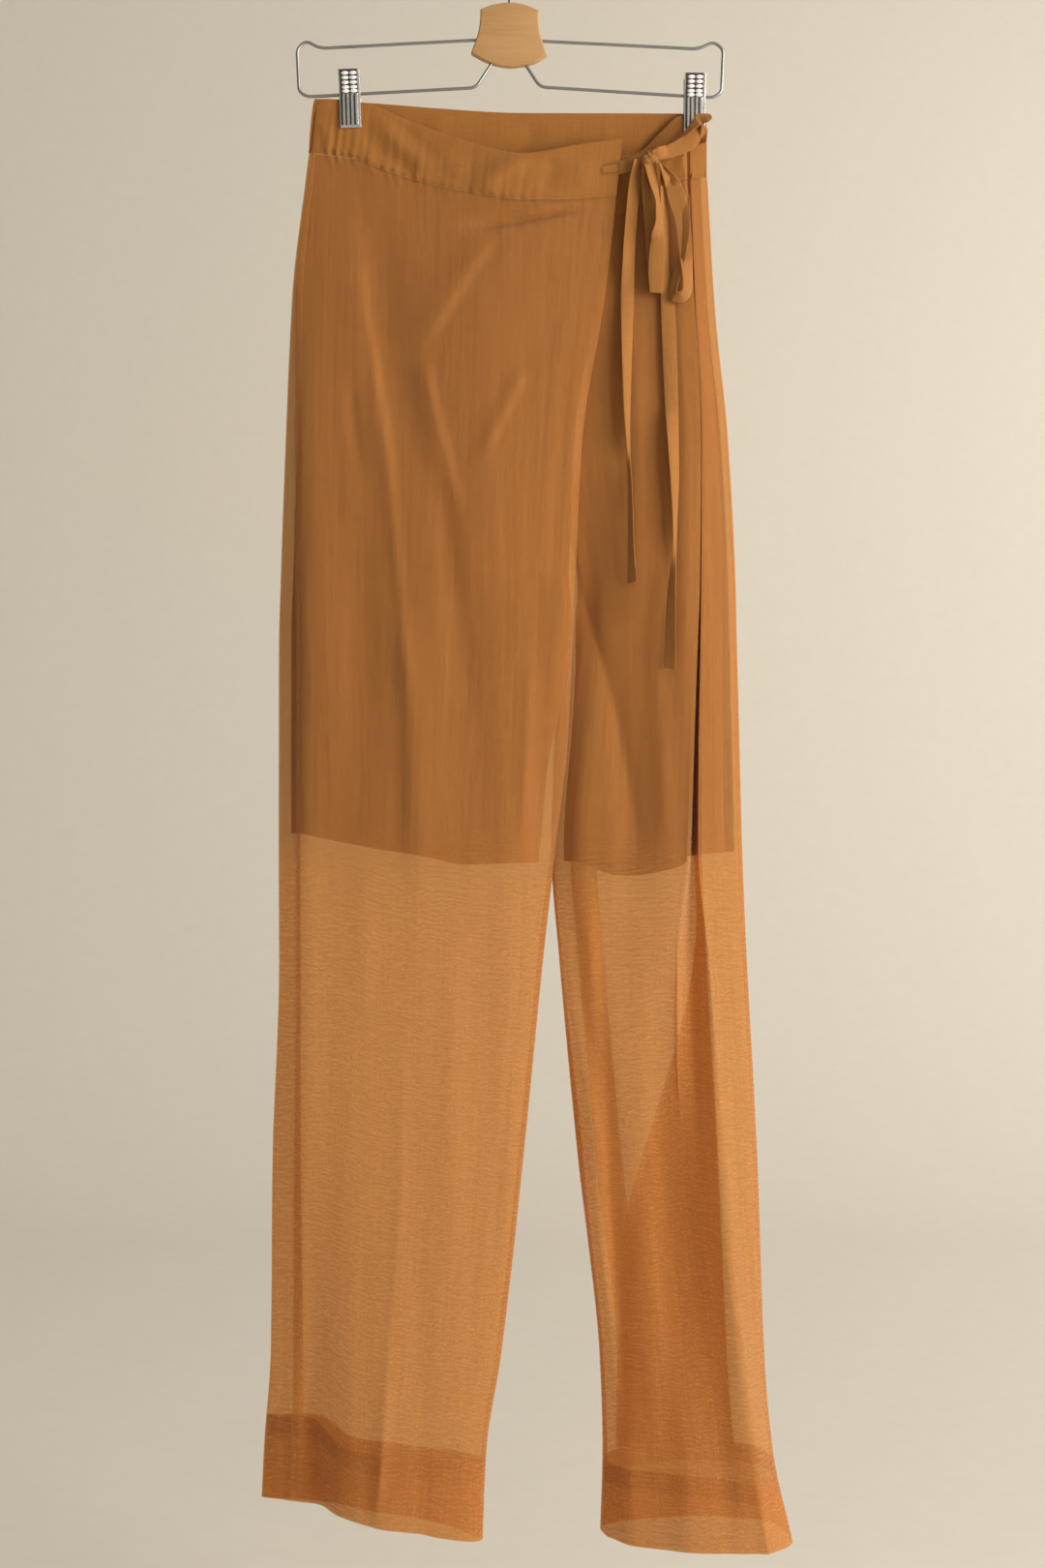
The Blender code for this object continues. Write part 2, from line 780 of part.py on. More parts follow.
LiningPanel = namedtuple("LiningPanel", "panel first last hem")
LININGS = {
    "lining_right_front": LiningPanel("right_front", 1, 12, RIGHT_LINING_HEM),
    "lining_right_back": LiningPanel("right_back", 4, 11, RIGHT_LINING_HEM),
    "lining_left_front": LiningPanel("left_front", 3, 17, LEFT_LINING_HEM),
    "lining_left_back": LiningPanel("left_back", 1, 9, LEFT_LINING_HEM),
}


def cut_at(column, height):
    """A column of points that runs down, ended at a height."""
    for above, below in zip(column, column[1:]):
        if below.z <= height:
            return above.lerp(below, (above.z - height) / (above.z - below.z))
    raise ValueError("the lining is longer than its panel")


def lining_rows(face, lining):
    """The panel's own points between two columns, down to the lining's hem."""
    top = next(i for i, row in enumerate(face.rows) if row[0].z < LINING_TOP)
    end = next(i for i, row in enumerate(face.rows) if min(p.z for p in row) < LINING_LAST_WHOLE)
    rows = [row[lining.first : lining.last + 1] for row in face.rows[top:end]]
    columns_down = [[row[j] for row in face.rows] for j in range(lining.first, lining.last + 1)]
    hems = []
    for column in columns_down:
        across = cut_at(column, LINING_LAST_WHOLE).x
        hems.append(cut_at(column, along(lining.hem, "height", across)))
    return [*rows, hems]


def add_linings(faces, parts):
    cloth = new_material("lining", (0.36, 0.15, 0.05), 0.85)
    for name, lining in LININGS.items():
        face = free_face(lining_rows(faces[lining.panel], lining))
        offsets = [LINING_OFFSET] * (len(face.rows) - 1) + [LINING_HEM_OFFSET]
        outer = moved_in(face, offsets)
        inner = moved_in(face, [offset + LINING_WALL for offset in offsets])
        add_wall(name, outer.rows, inner.rows, cloth, parts)


def add_strap(name, rows, material, parts, smooth_rows=4):
    """A flat strap through its sections, with a smooth line between them."""
    places = list(range(len(rows)))
    grid = []
    for k in range(smooth_rows * (len(rows) - 1) + 1):
        at = k / smooth_rows
        x1, z1, x2, z2, y = (smooth(places, [row[f] for row in rows], at) for f in range(5))
        grid.append([Vector((x1, y, z1)), Vector(((x1 + x2) / 2, y, (z1 + z2) / 2)), Vector((x2, y, z2))])
    add_strip(name, grid, material, parts, TIE_THICKNESS)


def add_bow(parts):
    cloth = new_material("tie", (0.48, 0.22, 0.08), 0.75)
    for name, rows in STRAPS.items():
        add_strap(name, rows, cloth, parts)
    mesh = bpy.data.meshes.new("bow_knot")
    shape = bmesh.new()
    bmesh.ops.create_uvsphere(shape, u_segments=12, v_segments=8, radius=1.0)
    for vert in shape.verts:
        vert.co = Vector(c + h * v for c, h, v in zip(KNOT_CENTRE, KNOT_HALF, vert.co)) * MM
    shape.to_mesh(mesh)
    shape.free()
    mesh.shade_smooth()
    add_object("bow_knot", mesh, cloth, parts)


def rounded(corners, radius, pieces=5):
    """The points of a bent wire: each corner is a short curve that starts radius from it."""
    points = [Vector(corners[0])]
    for before, corner, after in zip(corners, corners[1:], corners[2:]):
        corner, before, after = Vector(corner), Vector(before), Vector(after)
        reach = min(radius, (before - corner).length / 2.2, (after - corner).length / 2.2)
        start = corner + (before - corner).normalized() * reach
        end = corner + (after - corner).normalized() * reach
        for k in range(pieces + 1):
            t = k / pieces
            points.append(start.lerp(corner, t).lerp(corner.lerp(end, t), t))
    points.append(Vector(corners[-1]))
    return points


def add_wire(name, points, radius, material, parts):
    """A round wire in the hanger's plane, through points given as X and Z."""
    curve = bpy.data.curves.new(name, "CURVE")
    curve.dimensions = "3D"
    curve.bevel_depth = radius * MM
    curve.bevel_resolution = 2
    curve.use_fill_caps = True
    line = curve.splines.new("POLY")
    line.points.add(len(points) - 1)
    for point, (x, z) in zip(line.points, points):
        point.co = (x * MM, 0.0, z * MM, 1.0)
    add_object(name, curve, material, parts)


def hook_points():
    """Up from the block, round over the rod, and down to the free tip."""
    reach = HOOK_INNER + HOOK_RADIUS
    arc = [math.radians(angle) for angle in range(-50, 191, 12)]
    circle = [(reach * math.cos(a), reach * math.sin(a) - HOOK_INNER) for a in arc]
    return [(0.0, HOOK_END), (0.0, -54.0), (1.6, -48.6), (6.4, -42.8), *circle]


def add_hole(block, number, end, towards, radius, cutters):
    """A blind hole in the block for a wire's end, cut round the wire with a small gap."""
    start = Vector((end[0], 0, end[1]))
    way = (Vector((towards[0], 0, towards[1])) - start).normalized()
    middle = start - way * 1.0 + way * HOLE_DEPTH / 2
    mesh = bpy.data.meshes.new(f"hole {number}")
    shape = bmesh.new()
    bmesh.ops.create_cone(
        shape,
        cap_ends=True,
        segments=16,
        radius1=(radius + HOLE_GAP) * MM,
        radius2=(radius + HOLE_GAP) * MM,
        depth=HOLE_DEPTH * MM,
    )
    shape.to_mesh(mesh)
    shape.free()
    cutter = bpy.data.objects.new(mesh.name, mesh)
    cutter.location = middle * MM
    cutter.rotation_euler = way.to_track_quat("Z", "Y").to_euler()
    cutter.hide_render = True
    cutter.display_type = "WIRE"
    cutters.objects.link(cutter)
    hole = block.modifiers.new(mesh.name, "BOOLEAN")
    hole.operation = "DIFFERENCE"
    hole.solver = "EXACT"
    hole.object = cutter


def add_holes(block, cutters):
    hook = hook_points()
    ends = (
        (LEFT_WIRE[0], LEFT_WIRE[1], WIRE_RADIUS),
        (LEFT_WIRE[-1], LEFT_WIRE[-2], WIRE_RADIUS),
        (RIGHT_WIRE[0], RIGHT_WIRE[1], WIRE_RADIUS),
        (RIGHT_WIRE[-1], RIGHT_WIRE[-2], WIRE_RADIUS),
        (hook[0], hook[1], HOOK_RADIUS),
    )
    for number, (end, towards, radius) in enumerate(ends):
        add_hole(block, number, end, towards, radius, cutters)


def add_block(material, parts):
    curve = bpy.data.curves.new("hanger_block", "CURVE")
    curve.dimensions = "2D"
    curve.fill_mode = "BOTH"
    curve.extrude = (BLOCK_HALF - 1.0) * MM
    curve.bevel_depth = 1.0 * MM
    curve.bevel_resolution = 1
    curve.offset = -1.0 * MM
    outline = curve.splines.new("POLY")
    outline.points.add(len(BLOCK_OUTLINE) - 1)
    for point, (x, z) in zip(outline.points, BLOCK_OUTLINE):
        point.co = (x * MM, z * MM, 0.0, 1.0)
    outline.use_cyclic_u = True
    drawn = bpy.data.objects.new("drawn block", curve)
    drawn.rotation_euler = (math.pi / 2, 0.0, 0.0)
    parts.objects.link(drawn)
    bpy.context.view_layer.update()
    graph = bpy.context.evaluated_depsgraph_get()
    mesh = bpy.data.meshes.new_from_object(drawn.evaluated_get(graph))
    mesh.transform(drawn.matrix_world)
    mesh.name = "hanger_block"
    bpy.data.objects.remove(drawn)
    block = add_object("hanger_block", mesh, material, parts)
    weld = block.modifiers.new("Weld", "WELD")
    weld.merge_threshold = 0.00005
    return block


def add_clip(clip, material, parts):
    """Two sprung sheets that grip the waistbands, and the spring round the wire."""
    for side, facing in (("front", -1), ("back", 1)):
        grid = []
        for drop, depth in CLIP_PROFILE:
            x = mix(clip.top_x, clip.bottom_x, drop / CLIP_PROFILE[-1][0])
            y = facing * (depth + CLIP_SHEET)
            z = clip.top_z - drop
            ends = (x + facing * CLIP_WIDTH / 2, x - facing * CLIP_WIDTH / 2)
            grid.append([Vector((end, y, z)) for end in ends])
        add_strip(f"clip_{clip.name}_{side}", grid, material, parts, CLIP_SHEET)


def wire_height(corners, x):
    """The height of the wire's lower run at a place across."""
    for (x1, z1), (x2, z2) in zip(corners, corners[1:]):
        if min(z1, z2) < -120 and min(x1, x2) <= x <= max(x1, x2):
            return mix(z1, z2, (x - x1) / (x2 - x1))
    raise ValueError("the clip stands beside the wire")


def add_spring(clip, corners, material, parts):
    """The spring's coil, a short tube round the wire."""
    z = wire_height(corners, clip.top_x)
    mesh = bpy.data.meshes.new(f"clip_{clip.name}_spring")
    shape = bmesh.new()
    profile = ((SPRING_INNER, -1), (SPRING_OUTER, -1), (SPRING_OUTER, 1), (SPRING_INNER, 1))
    rings = []
    for k in range(16):
        angle = 2 * math.pi * k / 16
        ring = []
        for radius, end in profile:
            place = (
                clip.top_x + end * SPRING_LENGTH / 2,
                radius * math.cos(angle),
                z + radius * math.sin(angle),
            )
            ring.append(shape.verts.new(Vector(place) * MM))
        rings.append(ring)
    for k, ring in enumerate(rings):
        following = rings[(k + 1) % len(rings)]
        for j in range(4):
            nxt = (j + 1) % 4
            shape.faces.new((ring[j], ring[nxt], following[nxt], following[j]))
    bmesh.ops.recalc_face_normals(shape, faces=shape.faces)
    shape.to_mesh(mesh)
    shape.free()
    add_object(mesh.name, mesh, material, parts)


def add_hanger(parts, cutters):
    steel = new_material("steel wire", (0.35, 0.34, 0.34), 0.3, 1.0)
    wood = new_material("beech block", (0.6, 0.32, 0.14), 0.5)
    plate = new_material("polished steel", (0.6, 0.58, 0.55), 0.2, 1.0)
    add_wire("hanger_wire_left", rounded(LEFT_WIRE, BEND_RADIUS), WIRE_RADIUS, steel, parts)
    add_wire("hanger_wire_right", rounded(RIGHT_WIRE, BEND_RADIUS), WIRE_RADIUS, steel, parts)
    add_wire("hanger_hook", hook_points(), HOOK_RADIUS, steel, parts)
    add_holes(add_block(wood, parts), cutters)
    for clip, corners in zip(CLIPS, (LEFT_WIRE, RIGHT_WIRE)):
        add_clip(clip, plate, parts)
        add_spring(clip, corners, plate, parts)


def main():
    for obj in list(bpy.data.objects):
        bpy.data.objects.remove(obj)
    parts = bpy.data.collections.new("wrap pants on a clip hanger")
    cutters = bpy.data.collections.new("cutters")
    cutters.hide_render = True
    for collection in (parts, cutters):
        bpy.context.scene.collection.children.link(collection)
    faces = add_panels(parts)
    add_bands(faces, parts)
    add_linings(faces, parts)
    add_bow(parts)
    add_hanger(parts, cutters)


main()
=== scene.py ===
import math
from collections import namedtuple

import bpy
import numpy as np
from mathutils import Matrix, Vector


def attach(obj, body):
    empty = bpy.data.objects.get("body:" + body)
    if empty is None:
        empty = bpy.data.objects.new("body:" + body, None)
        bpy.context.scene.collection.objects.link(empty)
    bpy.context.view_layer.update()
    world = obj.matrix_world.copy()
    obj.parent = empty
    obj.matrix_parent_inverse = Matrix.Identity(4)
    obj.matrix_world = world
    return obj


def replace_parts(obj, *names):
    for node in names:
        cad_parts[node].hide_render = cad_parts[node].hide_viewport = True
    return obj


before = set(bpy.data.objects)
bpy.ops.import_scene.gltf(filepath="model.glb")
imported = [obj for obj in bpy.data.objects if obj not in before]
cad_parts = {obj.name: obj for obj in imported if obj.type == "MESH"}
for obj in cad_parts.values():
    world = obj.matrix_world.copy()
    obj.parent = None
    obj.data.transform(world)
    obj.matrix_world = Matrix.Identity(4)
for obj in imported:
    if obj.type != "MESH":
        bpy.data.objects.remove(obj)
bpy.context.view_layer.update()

# Sheer wrap pants on a wire clip hanger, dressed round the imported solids.
# The shape tables are in millimetres, as in the part's own source: a line down the cloth
# gives its place across (X) and its depth (Y) at each named level.

bl_info = {
    "name": "Wrap pants on a clip hanger",
    "version": (1, 0, 0),
    "blender": (4, 5, 0),
    "location": "3D View > Sidebar > Pants",
    "description": "Dresses the packed solids as sheer wrap pants on a wire clip hanger",
    "category": "Object",
}

MM = 0.001

# Cloth: thicknesses, and how far inside the outer face each layer hangs
CLOTH = 0.5
HEM_TURN = 0.45
HEM_ROWS = 20
HEM_FOLD = 15.0
HEM_FOLD_CLOTH = 0.4
HEM_FOLD_INSIDE = 1.7
STRIP_CLOTH = 0.45
STRIP_INSIDE = 1.05
STRIP_ROWS = 150
BAND_TURN = 0.45
BAND_ROWS = 22
BAND_CROWN = 0.35
LINING_CLOTH = 0.45
LINING_DROP = 1.75
LINING_HEM_DROP = 2.4
LINING_START = 1.2
TIE_CLOTH = 0.9
TIE_WIDTH = 10.0
TIE_MOST_TURN = 5.5
TIE_CUP = 0.35

# Where the two fronts and backs part, and a first guess of where an edge across lies
CROTCH_TOP = -502.0
CROTCH_BOTTOM = -536.0
CENTRE_BACK = 24.0
BAND_HEIGHT_GUESS = -200.0
LINING_HEIGHT_GUESS = -725.0
HEM_HEIGHT_GUESS = -1240.0
# How much closer together a panel's rows are at its waist than at its hem, as a power of e
ROW_GROWTH = 1.7

# Creases fade out over this share of their length, and of a column at a panel's own edges
CREASE_FADE = 0.3
EDGE_FADE = 0.2
# How soon the creases start below the waistband's seam, and how far the seam draws in
CREASE_START = 14.0
SEAM_SINK = 0.5
SEAM_SINK_REACH = 2.2

LEVELS = (-180, -300, -400, -515, -560, -640, -720, -800, -960, -1110, -1180, -1250)
Line = namedtuple("Line", "across depth")

# The right leg, at the viewer's left: lines down its front
RIGHT = {
    "seam": Line(
        (-154, -167, -167, -166, -166, -166, -166, -166, -168, -169, -170, -171),
        (-2, -6, -8, -9, -9, -9, -9, -7, -3, 2, 5, 8),
    ),
    "outline": Line(
        (-156, -169, -174, -178, -179, -179, -179, -179, -185, -187, -192, -195),
        (0.5, 1, 2, 3, 3, 4, 4, 5, 8, 11, 13, 14),
    ),
    "step back": Line(
        (-147, -151, -152, -152, -152, -152, -152, -152, -153, -152, -150, -148),
        (-3, -11, -15, -18, -18, -17, -16, -14, -8, -1, 3, 4),
    ),
    "step front": Line(
        (-133, -133, -133, -132, -132, -131, -130, -130, -130, -131, -131, -130),
        (-3.5, -14, -20, -24, -24, -24, -23, -22, -20, -18, -18, -18),
    ),
    "crease": Line(
        (-65, -66, -69, -71, -73, -75, -77, -79, -83, -93, -97, -102),
        (-7, -18, -24, -29, -29, -29, -29, -28, -27, -27, -27, -27),
    ),
    "inner": Line(
        (25, 22, 19, 17, 16, 14, 11, 9, 0, -17, -29, -35),
        (-12, -19, -25, -29, -28, -27, -25, -23, -21, -20, -20, -20),
    ),
    "edge": Line(
        (86, 72, 56, 50, 48, 44, 35, 26, 10, -7, -18, -21),
        (-10, -15, -20, -22, -20, -16, -12, -9, -8, -7, -7, -8),
    ),
}
RIGHT_BACK_DEPTH = (3.5, 8, 11, 14, 14, 14, 13, 13, 13, 13, 13, 12)

# The left leg, at the viewer's right, with the deep soft fold near its side
LEFT = {
    "edge": Line(
        (-65, -38, -9, 46, 41, 34, 32, 38, 53, 70, 72, 70),
        (-2, -4, -7, -8, -5, -1, 1, 2, 2, -1, -3, -5),
    ),
    "inner": Line(
        (-20, -2, 25, 54, 51, 43, 37.5, 43, 65, 77, 80, 81),
        (-2, -5, -9, -12, -12, -11, -10, -11, -14, -17, -18, -18),
    ),
    "inner valley": Line(
        (10, 27, 43, 63, 58, 48.5, 43, 52, 76, 84, 88, 91),
        (-2, -6, -11, -14, -16, -15, -15, -15, -15, -21, -25, -27),
    ),
    "face": Line(
        (47, 55, 63, 72, 68, 60, 54, 64, 93, 106, 111, 113),
        (-2, -9, -13, -17, -20, -21, -22, -22, -24, -31, -34, -36),
    ),
    "middle": Line(
        (92, 93, 95, 96, 97, 97, 97, 100, 117, 133, 140, 144),
        (-3, -12, -17, -22, -22, -23, -25, -26, -27, -37, -42, -45),
    ),
    "fold": Line(
        (134, 142, 146.4, 145.4, 143.8, 141, 137.4, 129, 130, 150, 159, 167),
        (-5, -17, -22, -26, -27, -28, -30, -30, -29, -39, -43, -46),
    ),
    "fold valley": Line(
        (136.4, 142.6, 147, 146.2, 145.2, 143, 141, 139, 144, 163, 172, 181),
        (-3, -4, -4, -4, -4, -5, -8, -14, -31, -42, -45, -47),
    ),
    "fold side": Line(
        (139, 143.4, 147.8, 147.2, 146.6, 145.2, 144.6, 152, 161, 175, 184, 196),
        (-4, -10, -14, -17, -17, -18, -21, -26, -38, -44, -46, -47),
    ),
    "seam": Line(
        (152, 159, 169, 175, 176, 178, 180, 183, 191, 196, 202, 217),
        (0, 0, 0, 0, 0, -1, -1, -3, -8, -13, -16, -20),
    ),
}
LEFT_SHARP = (5, 6, 7)
LEFT_BACK_DEPTH = (3.5, 8, 12, 16, 17, 19, 22, 25, 32, 38, 42, 46)

# Edges that run across, as (across, height)
WRAP_SEAM = (
    (-153, -178), (-124, -183), (-99, -193), (-66, -204),
    (-30, -212), (8, -218), (35, -218), (86, -214),
)
UNDER_SEAM = ((-65, -226), (89, -225), (101, -221), (132, -201), (152, -197))
BACK_SEAM = ((-153, -178), (-80, -186), (7, -192), (132, -194), (152, -197))
RIGHT_HEM = (
    (-194, -1224), (-148, -1227), (-130, -1230), (-102, -1236),
    (-72, -1240), (-49, -1245), (-24, -1250),
)
LEFT_HEM = ((70, -1244), (76, -1247), (108, -1249), (217, -1249))
RIGHT_HEM_TOP = (
    (-194, -1159), (-165, -1159), (-150, -1161), (-140, -1167), (-128, -1176), (-97, -1181),
    (-72, -1184.5), (-25, -1188),
)
LEFT_HEM_TOP = ((70, -1190), (108, -1191), (150, -1192), (188, -1196), (217, -1198))
LEFT_BACK_HEM_TOP = ((70, -1190), (217, -1187))
RIGHT_LINING_HEM = ((-156, -706), (-120, -714), (-60, -724), (-35, -729), (8, -728))
LEFT_LINING_HEM = ((50, -727), (87, -738), (129, -731), (143, -722), (180, -720))

# The tops of the waistbands, as (across, height, depth)
WRAP_TOP = (
    (-149, -137.5, -1.4), (-140, -137.8, -2.2), (-112, -141, -3), (-81, -154, -4.5),
    (-58, -163, -6), (-30, -173, -8.5), (-5, -180, -10.5), (10, -182, -11.5),
    (28, -180, -11.5), (53, -175, -10.5), (87, -170, -9),
)
UNDER_TOP = (
    (-65, -181, -1.2), (0, -184, -1.2), (89, -181, -2), (101, -178, -2.4),
    (118, -162, -3), (132, -151, -3.2), (140, -151, -2.4), (152, -153, -0.4),
)
BACK_TOP = (
    (152, -153, 0.4), (148, -152, 2), (132, -148, 3), (7, -147.5, 3), (-56, -144, 3),
    (-80, -142, 3), (-113, -139.5, 3), (-136, -138, 3), (-146, -137.5, 2), (-149.5, -137.5, 0),
)

# Creases pressed or hung into the cloth: points down them as (across, height),
# how far they reach to each side, how far they stand out, and whether they come to an edge
Crease = namedtuple("Crease", "points left right height sharp", defaults=(False,))
CREASES = {
    "right_front": (
        Crease(
            ((-160, -230), (-158, -420), (-157, -700), (-157, -960), (-158, -1200)), 7, 16, 6.5),
        Crease(((-104, -206), (-98, -290), (-90, -350), (-72, -440)), 22, 18, -3.6),
        Crease(((-14, -230), (-16, -420), (-26, -560)), 40, 34, 2.2),
        Crease(((-118, -210), (-113, -290), (-104, -350), (-94, -410), (-88, -470)), 13, 3.4, 2.3),
        Crease(((-2, -240), (-26, -268), (-46, -300), (-76, -346)), 17, 2.0, 2.2),
        Crease(((-16, -226), (0, -250), (-14, -290)), 9, 9, 0.7),
        Crease(((14, -346), (0, -376), (-26, -432)), 8, 2.4, 2.0),
        Crease(((-67, -326), (-62, -356), (-54, -392), (-44, -430), (-34, -480)), 15, 2.2, 2.2),
        Crease(((-122, -352), (-119, -392), (-115, -428)), 5, 4, -1.1),
        Crease(((-98, -384), (-84, -520), (-72, -640)), 5, 5, 1.2),
        Crease(((-58, -400), (-42, -520), (-30, -640)), 10, 8, -1.6),
        Crease(((-44, -242), (-14, -238), (10, -234), (38, -228), (66, -222)), 2.4, 5, -4.2),
        Crease(((-4, -231), (20, -227), (48, -221), (78, -215)), 2.6, 3.4, 2.4),
        Crease(((46, -286), (38, -340), (30, -420), (22, -520)), 5, 7, 0.7),
        Crease(((62, -290), (50, -400), (40, -520), (30, -640)), 9, 12, 1.4),
        Crease(((20, -250), (26, -300), (16, -360)), 14, 14, -0.9),
        Crease(((16, -560), (12, -640), (10, -720)), 4, 6, 1.2),
        Crease(((-90, -520), (-76, -620), (-72, -760)), 8, 16, 2.0),
        Crease(((-30, -500), (-28, -600), (-28, -760)), 16, 15, -1.9),
        Crease(((-120, -430), (-115, -560), (-112, -760)), 15, 22, -2.2),
        Crease(((-166, -514), (-164, -547), (-167, -643)), 2.5, 3, -1.2),
        Crease(((-78, -706), (-82, -941), (-86, -1024), (-93, -1107), (-98, -1180)), 3.2, 3, 0.9),
        Crease(((-91, -1090), (-95, -1150), (-98, -1190), (-104, -1250)), 7, 5, 3.4, True),
        Crease(((-40, -730), (-46, -900), (-58, -1100)), 12, 10, 0.8),
        Crease(((10, -720), (6, -820), (-6, -940), (-20, -1100)), 3, 4, -1.0),
        Crease(((-108, -760), (-107, -960), (-112, -1160)), 14, 12, -1.4),
        Crease(((-160, -1120), (-156, -1180), (-151, -1228)), 4, 7, -2.6),
        Crease(((-60, -1010), (-56, -1080), (-62, -1160)), 5, 5, 0.6),
    ),
    "left_front": (
        Crease(((46, -480), (60, -541), (78, -599), (95, -693), (100, -740)), 16, 13, -4.4, True),
        Crease(((96, -290), (98, -420), (100, -560)), 6, 6, 0.9),
        Crease(((84, -300), (86, -420), (90, -520)), 5, 6, -0.9),
        Crease(((118, -470), (112, -560), (118, -660), (122, -740)), 7, 7, 1.1),
        Crease(((128, -230), (133, -330), (136, -430), (134, -560), (130, -680)), 9, 5, 1.9),
        Crease(((112, -300), (120, -400), (122, -520)), 5, 6, -1.1),
        Crease(((70, -730), (72, -860), (80, -980)), 6, 22, -4.4),
        Crease(((130, -730), (120, -860), (122, -960), (132, -1080), (142, -1200)), 18, 24, -6.0),
        Crease(((156, -780), (161, -960), (176, -1110), (186, -1190), (194, -1245)), 15, 8, 4.0),
        Crease(((58, -940), (66, -1000), (76, -1068), (88, -1110)), 5, 6, 1.8),
        Crease(((76, -940), (80, -1030), (86, -1120), (90, -1200)), 4, 6, -1.2),
        Crease(((150, -760), (156, -900), (164, -1040), (176, -1190)), 5, 7, 0.8),
        Crease(((84, -1120), (92, -1180), (94, -1240)), 4, 6, 0.9),
    ),
    "right_back": (
        Crease(((-8, -226), (-50, -300), (-96, -400)), 7, 6, 1.8),
        Crease(((-40, -240), (-56, -330), (-70, -480), (-74, -640)), 12, 12, 1.4),
        Crease(((-110, -240), (-122, -420), (-128, -700)), 9, 12, -1.4),
        Crease(((-96, -230), (-104, -300), (-124, -380)), 4, 5, 0.9),
        Crease(((-6, -300), (-30, -380), (-48, -430)), 5, 6, -1.0),
        Crease(((-80, -640), (-88, -960), (-104, -1236)), 4, 5, 1.4),
        Crease(((-50, -760), (-60, -1000), (-66, -1180)), 10, 9, -1.0),
    ),
    "left_back": (
        Crease(((56, -226), (80, -310), (96, -420)), 7, 7, 1.7),
        Crease(((110, -240), (114, -420), (118, -640)), 12, 12, 1.3),
        Crease(((70, -330), (82, -460), (90, -760)), 9, 12, -1.3),
        Crease(((128, -230), (132, -290), (140, -360)), 4, 5, 0.9),
        Crease(((44, -280), (62, -350), (74, -430)), 5, 5, -0.9),
        Crease(((100, -700), (120, -960), (146, -1236)), 4, 5, 1.4),
        Crease(((140, -760), (150, -1000), (166, -1180)), 10, 9, -1.0),
    ),
    "waistband_wrap": (
        Crease(((20, -180), (2, -190), (-14, -203), (-24, -216)), 11, 8, 2.6),
        Crease(((36, -184), (30, -198), (26, -214)), 7, 9, -1.5),
        Crease(((-118, -150), (-104, -174), (-86, -188), (-70, -200)), 6, 8, -1.9),
        Crease(((-106, -142), (-92, -166), (-74, -184), (-54, -198)), 6, 6, 1.2),
        Crease(((-90, -152), (-72, -170), (-54, -184)), 5, 5, -0.9),
        Crease(((-148, -150), (-142, -168), (-140, -178)), 4, 5, 0.8),
        Crease(((-60, -172), (-44, -190), (-36, -206)), 6, 8, 0.7),
        Crease(((54, -182), (56, -198), (54, -212)), 8, 8, 0.7),
    ),
    "waistband_back": (
        Crease(((20, -150), (14, -170), (8, -190)), 9, 8, 1.0),
        Crease(((-112, -142), (-98, -160), (-84, -184)), 6, 8, 1.1),
        Crease(((128, -152), (110, -170), (96, -190)), 7, 7, 1.2),
        Crease(((-60, -148), (-52, -168), (-50, -188)), 9, 9, -0.9),
    ),
    "waistband_under": (
        Crease(((132, -154), (118, -170), (104, -184), (94, -200)), 4, 5, 1.2),
        Crease(((136, -166), (128, -182), (122, -200)), 4, 5, -0.9),
    ),
}
# Slow waves down the cloth: wavelength across, drift across per unit down, phase, height.
# They grow between two drops below the rail
Wave = namedtuple("Wave", "length drift phase height")
WAVES = (Wave(58, 0.06, 0.4, 0.35), Wave(37, -0.04, 2.1, 0.25), Wave(21, 0.03, 4.0, 0.12))
WAVES_GROW = (250, 1150)
# Small puckers along the wrap's waistband seam: place across, half width, height
PUCKERS = (
    (-141, 2.0, 0.8), (-134, 1.8, 1.2), (-128, 1.6, 1.0), (-121, 2.0, 1.5), (-115, 1.7, 1.4),
    (-108.5, 2.2, 1.8), (-103, 1.6, 1.2), (-96, 2.0, 1.5), (-88, 2.2, 1.4), (-80, 1.8, 1.0),
    (-71, 2.2, 1.5), (-64, 1.8, 1.7), (-57, 2.0, 1.2), (-50, 1.8, 1.8), (-43, 2.0, 1.5),
    (-36, 1.8, 1.2), (-27, 2.4, 1.5), (-19, 2.0, 1.4), (-12, 2.0, 1.7), (-3, 2.4, 1.5),
    (4, 2.0, 1.7), (12, 2.0, 1.2), (20, 2.6, 0.8),
)
PUCKER_DROP = 7.5
PUCKER_RISE = 5.5
PUCKER_LEAN = 0.45

# A seam's two pressed allowances inside a panel: the first and last column that they lie
# between, and the height below which they show
SEAM_STRIPS = {
    "right_front": ((0.03, 0.5),),
    "left_front": ((7.8, 7.97), (0.03, 0.4, CROTCH_BOTTOM)),
    "right_back": ((0.03, 0.4),),
    "left_back": ((4.6, 4.97),),
}
# Where the back of the left leg hangs folded: how deep inside, and the heights, first columns
# and last columns of the fold's top and bottom
Fold = namedtuple("Fold", "inside heights first last")
BACK_FOLDS = (
    Fold(0.7, (-712, -1189), (1.35, 1.3), (1.45, 3.7)),
    Fold(1.4, (-712, -1189), (1.35, 1.3), (1.45, 3.5)),
    Fold(2.1, (-712, -1189), (2.8, 2.8), (3.5, 3.6)),
)

